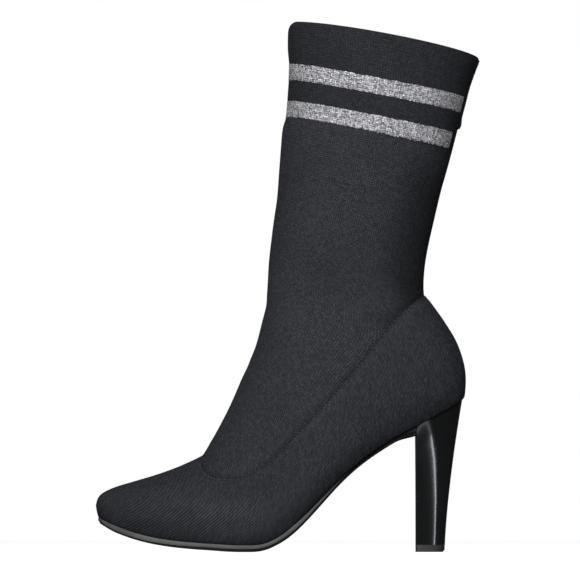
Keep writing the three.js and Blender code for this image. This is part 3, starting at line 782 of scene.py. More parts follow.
class Graph:
    """Short ways to build a node tree."""

    def __init__(self, tree: bpy.types.NodeTree) -> None:
        """Keeps the tree.

        Args:
            tree: The node tree to build in.
        """
        self.tree = tree

    def add(self, kind: str, **settings: Any) -> bpy.types.Node:
        """Adds a node.

        Args:
            kind: The node's type.
            settings: Properties to set on it.

        Returns:
            The node.
        """
        node = self.tree.nodes.new(kind)
        for key, value in settings.items():
            setattr(node, key, value)
        return node

    def feed(self, socket: bpy.types.NodeSocket, value: Feed) -> None:
        """Links a socket, or sets it to a constant.

        Args:
            socket: The input to feed.
            value: An output to link, or a constant.
        """
        if isinstance(value, bpy.types.NodeSocket):
            self.tree.links.new(value, socket)
        else:
            socket.default_value = value

    def math(self, operation: str, *values: Feed) -> bpy.types.NodeSocket:
        """Adds a maths node.

        Args:
            operation: What it does.
            values: Its inputs.

        Returns:
            Its result.
        """
        node = self.add("ShaderNodeMath", operation=operation)
        for socket, value in zip(node.inputs, values):
            self.feed(socket, value)
        return node.outputs[0]

    def blend(self, share: Feed, low: Feed, high: Feed) -> bpy.types.NodeSocket:
        """Adds a blend of two colours.

        Args:
            share: How much of the second one.
            low: The first colour.
            high: The second colour.

        Returns:
            The blended colour.
        """
        node = self.add("ShaderNodeMix", data_type="RGBA")
        self.feed(node.inputs[0], share)
        self.feed(node.inputs[6], low)
        self.feed(node.inputs[7], high)
        return node.outputs[2]

    def between(self, share: Feed, low: Feed, high: Feed) -> bpy.types.NodeSocket:
        """Adds a blend of two numbers.

        Args:
            share: How much of the second one.
            low: The first number.
            high: The second number.

        Returns:
            The blended number.
        """
        node = self.add("ShaderNodeMix", data_type="FLOAT")
        self.feed(node.inputs[0], share)
        self.feed(node.inputs[2], low)
        self.feed(node.inputs[3], high)
        return node.outputs[0]

    def remap(self, value: Feed, low: float, high: float, to_low: Feed, to_high: Feed,
              smoothly: bool = True) -> bpy.types.NodeSocket:
        """Adds a change of range.

        Args:
            value: The value to change.
            low: Its value that becomes to_low.
            high: Its value that becomes to_high.
            to_low: Start of the new range.
            to_high: End of the new range.
            smoothly: Whether the ends are eased.

        Returns:
            The changed value.
        """
        node = self.add("ShaderNodeMapRange",
                        interpolation_type="SMOOTHSTEP" if smoothly else "LINEAR")
        for name, v in (("Value", value), ("From Min", low), ("From Max", high),
                        ("To Min", to_low), ("To Max", to_high)):
            self.feed(node.inputs[name], v)
        return node.outputs[0]

    def join(self, x: Feed, y: Feed, z: Feed = 0.0) -> bpy.types.NodeSocket:
        """Adds a vector made of three values.

        Args:
            x: First value.
            y: Second value.
            z: Third value.

        Returns:
            The vector.
        """
        node = self.add("ShaderNodeCombineXYZ")
        for socket, value in zip(node.inputs, (x, y, z)):
            self.feed(socket, value)
        return node.outputs[0]

    def scaled(self, colour: Feed, tone: Feed) -> bpy.types.NodeSocket:
        """Adds a colour made lighter or darker.

        Args:
            colour: The colour.
            tone: What it is multiplied by.

        Returns:
            The new colour.
        """
        node = self.add("ShaderNodeVectorMath", operation="SCALE")
        self.feed(node.inputs[0], colour)
        self.feed(node.inputs["Scale"], tone)
        return node.outputs[0]

    def noise(self, vector: Feed, scale: Feed, detail: float = 2.0,
              rough: float = 0.5) -> bpy.types.NodeSocket:
        """Adds a noise texture.

        Args:
            vector: Where it is read.
            scale: How fine it is.
            detail: How many finer layers it has.
            rough: How strong they are.

        Returns:
            Its value.
        """
        node = self.add("ShaderNodeTexNoise")
        self.feed(node.inputs["Vector"], vector)
        self.feed(node.inputs["Scale"], scale)
        self.feed(node.inputs["Detail"], detail)
        self.feed(node.inputs["Roughness"], rough)
        return node.outputs["Fac"]


class EffectGroup:
    """A shared effect kept as one node group with named sockets."""

    NAME = "effect"
    INPUTS: tuple = ()
    OUTPUTS: tuple = ()

    def __init__(self) -> None:
        """Builds the group once."""
        self.tree = bpy.data.node_groups.new(self.NAME, "ShaderNodeTree")
        for name, kind, default in self.INPUTS:
            socket = self.tree.interface.new_socket(name, in_out="INPUT", socket_type=kind)
            if default is not None:
                socket.default_value = default
        for name, kind in self.OUTPUTS:
            self.tree.interface.new_socket(name, in_out="OUTPUT", socket_type=kind)
        graph = Graph(self.tree)
        source = graph.add("NodeGroupInput")
        target = graph.add("NodeGroupOutput")
        results = self.build(graph, {s.name: s for s in source.outputs if s.name})
        for name, value in results.items():
            graph.feed(target.inputs[name], value)

    def build(self, g: Graph, given: dict) -> dict:
        """Builds the effect.

        Args:
            g: The group's graph.
            given: Its input sockets by name.

        Returns:
            Its results by name.
        """
        raise NotImplementedError

    def use(self, g: Graph, **values: Feed) -> bpy.types.Node:
        """Adds this effect to a graph.

        Args:
            g: The graph.
            values: Its inputs by name.

        Returns:
            The group's node.
        """
        node = g.add("ShaderNodeGroup", node_tree=self.tree)
        for name, value in values.items():
            g.feed(node.inputs[name.replace("_", " ")], value)
        return node


class KnitLoops(EffectGroup):
    """Rows of V-shaped knit loops, from two coordinates counted in loops."""

    NAME = "knit_loops"
    INPUTS = (("Across", "NodeSocketFloat", 0.0), ("Along", "NodeSocketFloat", 0.0),
              ("Slant", "NodeSocketFloat", 0.3), ("Waver", "NodeSocketFloat", 0.14))
    OUTPUTS = (("Height", "NodeSocketFloat"), ("Hollow", "NodeSocketFloat"),
               ("Yarn", "NodeSocketFloat"))

    def build(self, g: Graph, given: dict) -> dict:
        """Builds the loops.

        Args:
            g: The group's graph.
            given: Its input sockets by name.

        Returns:
            Its results by name.
        """
        spot = g.join(given["Across"], given["Along"])
        waver = g.math("MULTIPLY", g.math("SUBTRACT", g.noise(spot, 0.5, 4.0), 0.5), given["Waver"])
        waver = g.math("MULTIPLY", waver, 8.0)
        across = g.math("ADD", given["Across"], waver)
        along = g.math("ADD", given["Along"], waver)
        u = g.math("FRACT", across)
        fold = g.math("ABSOLUTE", g.math("SUBTRACT", g.math("MULTIPLY", u, 2.0), 1.0))
        ridge = g.math("SINE", g.math("MULTIPLY", u, math.pi))
        ridge = g.math("POWER", g.math("ABSOLUTE", ridge), 0.6)
        lift = g.math("ADD", along, g.math("MULTIPLY", fold, given["Slant"]))
        phase = g.math("FRACT", lift)
        loop = g.math("SINE", g.math("MULTIPLY", phase, math.pi))
        loop = g.math("POWER", g.math("ABSOLUTE", loop), 0.7)
        height = g.math("MULTIPLY", g.math("ADD", g.math("MULTIPLY", ridge, 0.72), 0.28),
                        g.math("ADD", g.math("MULTIPLY", loop, 0.85), 0.15))
        hollow = g.remap(height, 0.15, 0.85, 1.0, 0.0)
        cell = g.join(g.math("FLOOR", across), g.math("FLOOR", lift))
        white = g.add("ShaderNodeTexWhiteNoise", noise_dimensions="2D")
        g.feed(white.inputs["Vector"], cell)
        return {"Height": height, "Hollow": hollow, "Yarn": white.outputs["Value"]}


class RibLoops(EffectGroup):
    """Narrow ribs with a fine twist along them, from two coordinates counted in ribs."""

    NAME = "rib_loops"
    INPUTS = (("Across", "NodeSocketFloat", 0.0), ("Along", "NodeSocketFloat", 0.0),
              ("Waver", "NodeSocketFloat", 0.03))
    OUTPUTS = (("Height", "NodeSocketFloat"), ("Hollow", "NodeSocketFloat"),
               ("Yarn", "NodeSocketFloat"))

    def build(self, g: Graph, given: dict) -> dict:
        """Builds the ribs.

        Args:
            g: The group's graph.
            given: Its input sockets by name.

        Returns:
            Its results by name.
        """
        spot = g.join(given["Across"], given["Along"])
        waver = g.math("MULTIPLY", g.math("SUBTRACT", g.noise(spot, 0.3, 3.0), 0.5), given["Waver"])
        across = g.math("ADD", given["Across"], g.math("MULTIPLY", waver, 5.0))
        phase = g.math("FRACT", across)
        rib = g.math("POWER", g.math("SINE", g.math("MULTIPLY", phase, math.pi)), 0.8)
        twist = g.math("ADD", given["Along"], g.math("MULTIPLY", phase, 0.7))
        bead = g.math("SINE", g.math("MULTIPLY", g.math("FRACT", twist), math.pi))
        height = g.math("MULTIPLY", rib, g.math("ADD", g.math("MULTIPLY", bead, 0.4), 0.6))
        hollow = g.remap(rib, 0.1, 0.8, 1.0, 0.0)
        cell = g.join(g.math("FLOOR", across), g.math("FLOOR", twist))
        white = g.add("ShaderNodeTexWhiteNoise", noise_dimensions="2D")
        g.feed(white.inputs["Vector"], cell)
        return {"Height": height, "Hollow": hollow, "Yarn": white.outputs["Value"]}


class SoftMottle(EffectGroup):
    """Slow and fine unevenness of a dyed or moulded surface."""

    NAME = "soft_mottle"
    INPUTS = (("Fine", "NodeSocketFloat", 900.0), ("Broad", "NodeSocketFloat", 45.0))
    OUTPUTS = (("Fine", "NodeSocketFloat"), ("Broad", "NodeSocketFloat"))

    def build(self, g: Graph, given: dict) -> dict:
        """Builds the mottle.

        Args:
            g: The group's graph.
            given: Its input sockets by name.

        Returns:
            Its results by name.
        """
        place = g.add("ShaderNodeTexCoord").outputs["Object"]
        fine = g.noise(place, given["Fine"], 3.0, 0.6)
        broad = g.noise(place, given["Broad"], 2.0, 0.5)
        return {"Fine": fine, "Broad": broad}


class Effects:
    """The shared effects, made once."""

    def __init__(self) -> None:
        """Builds each effect's group."""
        self.loops = KnitLoops()
        self.ribs = RibLoops()
        self.mottle = SoftMottle()


@dataclass(frozen=True)
class Finish:
    """What every finish has: a name and a way to make its material."""

    name: str

    def base(self) -> tuple[bpy.types.Material, Graph, bpy.types.Node]:
        """Starts a material.

        Returns:
            The new material, its graph and its shader.
        """
        material = bpy.data.materials.new(self.name)
        material.use_nodes = True
        graph = Graph(material.node_tree)
        shader = material.node_tree.nodes["Principled BSDF"]
        return material, graph, shader

    @staticmethod
    def lay(g: Graph) -> tuple[bpy.types.NodeSocket, bpy.types.NodeSocket]:
        """Reads the two texture places of a piece.

        Args:
            g: The material's graph.

        Returns:
            The place across and the place along, in millimetres.
        """
        node = g.add("ShaderNodeUVMap", uv_map="lay")
        split = g.add("ShaderNodeSeparateXYZ")
        g.feed(split.inputs[0], node.outputs[0])
        return split.outputs[0], split.outputs[1]

    @staticmethod
    def bump(g: Graph, shader: bpy.types.Node, height: bpy.types.NodeSocket,
             depth_mm: float) -> None:
        """Feeds a bump into a shader.

        Args:
            g: The material's graph.
            shader: The shader.
            height: The bump's height, from 0 to about 1.
            depth_mm: What a height of 1 means in millimetres.
        """
        node = g.add("ShaderNodeBump")
        node.inputs["Strength"].default_value = 1.0
        node.inputs["Distance"].default_value = depth_mm * MM
        g.feed(node.inputs["Height"], height)
        g.feed(shader.inputs["Normal"], node.outputs[0])


@dataclass(frozen=True)
class KnitFinish(Finish):
    """Dark elastic knit.

    cuff holds where the cuff's darker tone starts and ends along the leg, and the tone; back holds
    where the painted shade on the leg's back starts and ends along the leg, and its tone.
    """

    light: Colour = (0.041, 0.044, 0.052, 1)
    dark: Colour = (0.008, 0.009, 0.011, 1)
    wale: float = 1.25
    course: float = 1.25
    rib: float = 2.15
    ribbed: bool = False
    depth: float = 0.22
    back_shade_reach: tuple = (84.0, 116.0)
    cuff: tuple = ()
    back: tuple = ()
    shaded: bool = False

    def make(self, effects: Effects) -> bpy.types.Material:
        """Makes the material.

        Args:
            effects: The shared effects.

        Returns:
            The new material.
        """
        material, g, shader = self.base()
        u, v = self.lay(g)
        knit = effects.loops.use(g, Across=g.math("DIVIDE", u, self.wale),
                                 Along=g.math("DIVIDE", v, self.course))
        hollow, height, yarn = (knit.outputs[n] for n in ("Hollow", "Height", "Yarn"))
        if self.ribbed:
            place = g.add("ShaderNodeAttribute", attribute_name="rib_place").outputs["Fac"]
            ribs = effects.ribs.use(g, Across=g.math("DIVIDE", place, self.rib),
                                    Along=g.math("DIVIDE", u, self.course))
            share = g.add("ShaderNodeAttribute", attribute_name="ribbing").outputs["Fac"]
            hollow = g.between(share, hollow, ribs.outputs["Hollow"])
            height = g.between(share, height, ribs.outputs["Height"])
        mottle = effects.mottle.use(g, Fine=700.0, Broad=28.0)
        yarn = g.remap(yarn, 0.0, 1.0, 0.74, 1.26, False)
        tone = g.math("MULTIPLY", yarn, g.remap(mottle.outputs["Broad"], 0.3, 0.7, 0.95, 1.05))
        tone = g.math("MULTIPLY", tone, g.remap(mottle.outputs["Fine"], 0.3, 0.7, 0.82, 1.18))
        if self.cuff:
            start, end, share = self.cuff
            tone = g.math("MULTIPLY", tone, g.remap(v, start, end, 1.0, share))
        # Painted shade: the knit darkens round the back of the leg, where the light falls off.
        if self.back:
            low, high, share = self.back
            side = g.remap(g.math("ABSOLUTE", u), *self.back_shade_reach, 1.0, share)
            reach = g.math("MULTIPLY", g.remap(v, low, low + 25.0, 0.0, 1.0),
                           g.remap(v, high - 30.0, high, 1.0, 0.0))
            tone = g.math("MULTIPLY", tone, g.between(reach, 1.0, side))
        # The shade mark multiplies in each piece's painted shade and light.
        if self.shaded:
            shade = g.add("ShaderNodeAttribute", attribute_name="shade").outputs["Fac"]
            tone = g.math("MULTIPLY", tone, shade)
        # The hollows between the loops take the dark colour: painted shade between the loops.
        colour = g.blend(hollow, self.light, self.dark)
        g.feed(shader.inputs["Base Color"], g.scaled(colour, tone))
        shader.inputs["Roughness"].default_value = 0.78
        shader.inputs["Specular IOR Level"].default_value = 0.22
        fuzz = g.math("MULTIPLY", mottle.outputs["Fine"], 0.35)
        self.bump(g, shader, g.math("ADD", height, fuzz), self.depth)
        return material


@dataclass(frozen=True)
class GlitterFinish(Finish):
    """Silver metallic yarn with glittering flecks."""

    wale: float = 1.35
    course: float = 1.2
    flecks_per_mm: float = 1.15
    deep: Colour = (0.10, 0.10, 0.115, 1)
    silver: Colour = (0.46, 0.455, 0.49, 1)
    bright: Colour = (0.95, 0.95, 0.98, 1)

    def make(self, effects: Effects) -> bpy.types.Material:
        """Makes the material.

        Args:
            effects: The shared effects.

        Returns:
            The new material.
        """
        material, g, shader = self.base()
        u, v = self.lay(g)
        spot = g.join(u, v)
        cells = g.add("ShaderNodeTexVoronoi", voronoi_dimensions="2D")
        g.feed(cells.inputs["Vector"], spot)
        g.feed(cells.inputs["Scale"], self.flecks_per_mm)
        split = g.add("ShaderNodeSeparateColor")
        g.feed(split.inputs[0], cells.outputs["Color"])
        fleck = split.outputs[0]
        clump = g.noise(spot, 0.55, 3.0, 0.6)
        tone = g.math("ADD", g.math("MULTIPLY", fleck, 0.75), g.math("MULTIPLY", clump, 0.5))
        ramp = g.add("ShaderNodeValToRGB")
        g.feed(ramp.inputs[0], tone)
        stops = ramp.color_ramp.elements
        stops[0].position, stops[0].color = 0.15, self.deep
        stops[1].position, stops[1].color = 1.0, self.bright
        middle = stops.new(0.55)
        middle.color = self.silver
        knit = effects.loops.use(g, Across=g.math("DIVIDE", u, self.wale),
                                 Along=g.math("DIVIDE", v, self.course))
        shade = g.remap(knit.outputs["Hollow"], 0.0, 1.0, 0.94, 0.66)
        g.feed(shader.inputs["Base Color"], g.scaled(ramp.outputs[0], shade))
        g.feed(shader.inputs["Metallic"], g.remap(split.outputs[1], 0.3, 0.8, 0.1, 0.6))
        g.feed(shader.inputs["Roughness"], g.remap(split.outputs[2], 0.0, 1.0, 0.3, 0.6))
        height = g.math("ADD", knit.outputs["Height"], g.math("MULTIPLY", fleck, 0.9))
        self.bump(g, shader, height, 0.3)
        return material


@dataclass(frozen=True)
class GlossFinish(Finish):
    """High-gloss black moulding."""

    colour: Colour = (0.0085, 0.009, 0.0095, 1)

    def make(self, effects: Effects) -> bpy.types.Material:
        """Makes the material.

        Args:
            effects: The shared effects.

        Returns:
            The new material.
        """
        material, g, shader = self.base()
        mottle = effects.mottle.use(g, Fine=1500.0, Broad=60.0)
        shader.inputs["Base Color"].default_value = self.colour
        g.feed(shader.inputs["Roughness"], g.remap(mottle.outputs["Broad"], 0.3, 0.7, 0.11, 0.14))
        shader.inputs["Coat Weight"].default_value = 0.6
        shader.inputs["Coat Roughness"].default_value = 0.09
        self.bump(g, shader, mottle.outputs["Broad"], 0.04)
        return material


@dataclass(frozen=True)
class RubberFinish(Finish):
    """Moulded rubber, or a grey sole edge whose grey is partly its own colour and partly a painted
    highlight.

    spans holds the places along the sole between which its colour starts, is full, is still full
    and has gone; beyond them the sole is dark, at the toe's tip, and under the arch as painted shade.
    """

    colour: Colour = (0.012, 0.012, 0.013, 1)
    rough: float = 0.55
    dark: Colour = (0.006, 0.006, 0.007, 1)
    spans: tuple = ()
    shine: float = 0.5

    def make(self, effects: Effects) -> bpy.types.Material:
        """Makes the material.

        Args:
            effects: The shared effects.

        Returns:
            The new material.
        """
        material, g, shader = self.base()
        shader.inputs["Specular IOR Level"].default_value = self.shine
        mottle = effects.mottle.use(g, Fine=2200.0, Broad=80.0)
        worn = tuple(min(1.0, c * 1.5) for c in self.colour[:3]) + (1,)
        share = g.remap(mottle.outputs["Broad"], 0.35, 0.75, 0.0, 0.6)
        colour = g.blend(share, self.colour, worn)
        # Beyond the spans the edge turns dark: at the toe's tip, and under the arch as painted shade.
        if self.spans:
            place, _ = self.lay(g)
            toe_dark, toe_full, waist_full, waist_dark = self.spans
            kept = g.math("MULTIPLY", g.remap(place, toe_dark, toe_full, 0.0, 1.0),
                          g.remap(place, waist_full, waist_dark, 1.0, 0.0))
            colour = g.blend(kept, self.dark, colour)
        g.feed(shader.inputs["Base Color"], colour)
        g.feed(shader.inputs["Roughness"],
               g.remap(mottle.outputs["Fine"], 0.3, 0.7, self.rough - 0.06, self.rough + 0.08))
        self.bump(g, shader, mottle.outputs["Fine"], 0.05)
        return material


@dataclass(frozen=True)
class ThreadFinish(Finish):
    """Sewing thread."""

    colour: Colour = (0.02, 0.021, 0.024, 1)

    def make(self, effects: Effects) -> bpy.types.Material:
        """Makes the material.

        Args:
            effects: The shared effects.

        Returns:
            The new material.
        """
        material, g, shader = self.base()
        mottle = effects.mottle.use(g, Fine=3000.0, Broad=300.0)
        lit = tuple(c * 1.9 for c in self.colour[:3]) + (1,)
        g.feed(shader.inputs["Base Color"], g.blend(mottle.outputs["Broad"], self.colour, lit))
        shader.inputs["Roughness"].default_value = 0.7
        self.bump(g, shader, mottle.outputs["Fine"], 0.06)
        return material


@dataclass(frozen=True)
class Fold:
    """A soft trough or ridge of the cloth, placed in the side view."""

    start: tuple[float, float]
    end: tuple[float, float]
    width: float
    depth: float

    def height(self, points: Array) -> Array:
        """Gives how far the fold moves each point out of the surface.

        Args:
            points: Points of the surface.

        Returns:
            One distance per point, negative in a trough.
        """
        a, b = np.array(self.start), np.array(self.end)
        d = b - a
        x, z = points[..., 0], points[..., 2]
        t = ((x - a[0]) * d[0] + (z - a[1]) * d[1]) / (d @ d)
        c = np.clip(t, 0, 1)
        away = np.hypot(x - a[0] - c * d[0], z - a[1] - c * d[1])
        ends = smooth(t / 0.3 + 0.5) * smooth((1 - t) / 0.3 + 0.5)
        return self.depth * bell(away, self.width) * ends


@dataclass
class UpperSkins:
    """Makes the skins of the sock, the shell and the lining from one form."""

    form: BootForm
    half_columns: int = 118
    row_step: float = 1.9
    lining_step: float = 3.4
    folds: tuple = (
        Fold((-104, 118), (-96, 150), 7.0, -0.5),
        Fold((-112, 108), (-88, 132), 5.0, -0.45),
        Fold((-110, 132), (-80, 152), 5.5, 0.35),
        Fold((-6, 142), (-42, 128), 5.0, -0.7),
        Fold((-2, 153), (-30, 150), 4.5, -0.45),
        Fold((-84, 190), (-60, 250), 16.0, 0.35),
        Fold((-20, 180), (-14, 250), 14.0, -0.35),
    )

    def sheet(self, start: float, end: float, offset: Callable[[Array], Array],
              step: Optional[float] = None) -> tuple[Array, Array, Array, Array]:
        """Lays a grid over the form between two sections.

        Args:
            start: First v.
            end: Last v, or the collar where it is above 30.
            offset: Function from points to their offset.
            step: Distance between rows.

        Returns:
            Points, v and turn of each, and how far down each column is, as grids.
        """
        form = self.form
        rows = form.stations(start, min(end, 30.0), step or self.row_step)
        share = np.linspace(-1, 1, 2 * self.half_columns + 1)
        outer = form.sole_turn(rows, Side.OUTER, form.sizes.shell_step)
        inner = form.sole_turn(rows, Side.INNER, form.sizes.shell_step)
        turn = np.where(share > 0, share * outer[:, None], share * inner[:, None])
        v = np.repeat(rows[:, None], len(share), 1)
        if end > 30.0:
            top_turn = share * math.pi
            edge = form.collar_v(top_turn)
            count = int(75 / (step or self.row_step))
            extra = np.linspace(0, 1, count + 1)[1:, None]
            v = np.vstack([v, mix(30.0, edge[None, :], extra)])
            turn = np.vstack([turn, np.repeat(top_turn[None, :], count, 0)])
        base = form.point(v, turn, 0.0)
        points = base + form.normal(v, turn) * offset(base)[..., None]
        return points, v, turn, base

    def lay_along(self, v: Array) -> Array:
        """Measures along the boot on its outer side.

        Args:
            v: Places along the boot.

        Returns:
            The distance from the toe to each.
        """
        line = np.linspace(0, self.form.last, 1400)
        p = self.form.point(line, np.full(line.shape, 1.35))
        length = np.concatenate([[0], np.cumsum(np.linalg.norm(np.diff(p, axis=0), axis=1))])
        return np.interp(v, line, length)

    def _sock_offset(self, points: Array) -> Array:
        """Gives the sock's relief: its folds, and the ditch along the shell's edge.

        Args:
            points: Points of the form.

        Returns:
            How far the sock lies out of the form at each.
        """
        depth = self.form.shell_depth(points[..., 0], points[..., 2])
        ridge = bell(points[..., 1], 14.0) * (points[..., 0] < -100.0)
        ditch = -0.35 * bell(depth + 0.6, 1.2) * (1.0 - ridge)
        return ditch + sum(f.height(points) for f in self.folds)

    def _shell_offset(self, points: Array) -> Array:
        """Gives the shell's relief: its step, turned edge, sewn ditch and folds.

        Args:
            points: Points of the form.

        Returns:
            How far the shell lies out of the form at each.
        """
        depth = self.form.shell_depth(points[..., 0], points[..., 2])
        lip = -0.25 * np.exp(-np.maximum(depth, 0) / 3.5) - 0.15 * bell(depth, 0.4)
        ditch = -0.12 * bell(depth - 1.1, 0.5)
        folds = sum(f.height(points) for f in self.folds)
        return self.form.sizes.shell_step + lip + ditch + 0.6 * folds

    def _lining_offset(self, points: Array) -> Array:
        """Returns the lining's place, the wall's thickness inside the form."""
        return np.full(points.shape[:-1], -self.form.sizes.wall)

    def sock(self) -> Skin:
        """Lays the sock's outer side, its rolled collar edge included.

        Returns:
            The sock's skin.
        """
        form = self.form
        points, v, turn, _ = self.sheet(7.6, 40.0, self._sock_offset)
        rim = form.point(v[-1], turn[-1], -form.sizes.wall / 2)
        out = unit(points[-1] - rim)
        roll = []
        for angle in np.radians((35, 70, 105, 145, 180)):
            up = np.array([0.0, 0.0, 1.0])
            lift = up - out * (out @ up)[:, None]
            roll.append(rim + form.sizes.wall / 2 * (np.cos(angle) * out
                                                     + np.sin(angle) * unit(lift)))
        rows = np.concatenate([points, np.array(roll)])
        along = self.lay_along(v)
        top = along[-1] + np.linspace(0.6, 3, 5)[:, None]
        places = np.stack([
            np.vstack([turn, np.repeat(turn[-1:], 5, 0)]) * 150 / math.pi,
            np.vstack([along, top]),
        ], -1)
        skin = Skin(rows.reshape(-1, 3), grid_tris(*rows.shape[:2]), places.reshape(-1, 2))
        keep = 5.0 - form.shell_depth(skin.points[:, 0], skin.points[:, 2])
        skin, _ = skin.clipped(keep)
        return skin

    def shell(self) -> Skin:
        """Lays the lasted shell with its turned edge.

        Returns:
            The shell's skin.
        """
        form = self.form
        step = form.sizes.shell_step
        points, v, turn, base = self.sheet(0.02, 26.5, self._shell_offset)
        depth = form.shell_depth(base[..., 0], base[..., 2])
        front = bell(np.abs(turn), 0.5) * bell(np.maximum(depth, 0), 6.0)
        points = mix(points, base + 0.06 * form.normal(v, turn), front[..., None])
        tip = form.point(np.array(0.0), np.array(0.0)) - np.array([step, 0, 0])
        top = form.point(v, np.zeros(v.shape))
        down = np.linalg.norm(base - top, axis=-1)
        along = self.lay_along(v)
        slant = 1.2 * np.where(down < 24, down ** 2 / 48, down - 12)
        places = np.stack([down, along + slant], -1)
        tucked = form.point(v[:, [0, -1]], turn[:, [0, -1]], -2.5)
        tucked[..., 2] -= 0.15
        points = np.concatenate([tucked[:, :1], points, tucked[:, 1:]], axis=1)
        places = np.concatenate([places[:, :1], places, places[:, -1:]], axis=1)
        rows, cols = points.shape[:2]
        skin = Skin(points.reshape(-1, 3), grid_tris(rows, cols), places.reshape(-1, 2))
        first = np.arange(cols)
        fan = np.stack([np.full(cols - 1, rows * cols), first[1:], first[:-1]], -1)
        skin = Skin(np.vstack([skin.points, tip]), np.concatenate([skin.tris, fan]),
                    np.vstack([skin.places, [[0.0, 0.0]]]))
        keep = form.shell_depth(skin.points[:, 0], skin.points[:, 2])
        skin, edge = skin.clipped(keep)
        return self._with_wall(skin, edge)

    def _with_wall(self, skin: Skin, edge: Array) -> Skin:
        """Adds the cut edge's own thickness, turned inwards.

        Args:
            skin: The cut skin.
            edge: Pairs of points along its cut edge.

        Returns:
            The skin with its edge.
        """
        corners = skin.points[skin.tris]
        face = np.cross(corners[:, 1] - corners[:, 0], corners[:, 2] - corners[:, 0])
        normal = np.zeros_like(skin.points)
        for k in range(3):
            np.add.at(normal, skin.tris[:, k], face)
        normal = unit(normal)
        used = np.unique(edge)
        inner = skin.points[used] - normal[used] * 0.6
        lookup = np.full(len(skin.points), -1)
        lookup[used] = len(skin.points) + np.arange(len(used))
        a, b = edge[:, 0], edge[:, 1]
        wall = np.concatenate([np.stack([a, lookup[a], lookup[b]], -1),
                               np.stack([a, lookup[b], b], -1)])
        return Skin(np.vstack([skin.points, inner]), np.concatenate([skin.tris, wall]),
                    np.vstack([skin.places, skin.places[used]]))

    def lining(self) -> Skin:
        """Lays the inner side of the upper, from the collar down to the sole.

        Returns:
            The lining's skin.
        """
        points, v, turn, _ = self.sheet(0.4, 40.0, self._lining_offset, self.lining_step)
        places = np.stack([turn * 150 / math.pi, self.lay_along(v)], -1)
        return Skin(points.reshape(-1, 3), grid_tris(*points.shape[:2], flip=True),
                    places.reshape(-1, 2))


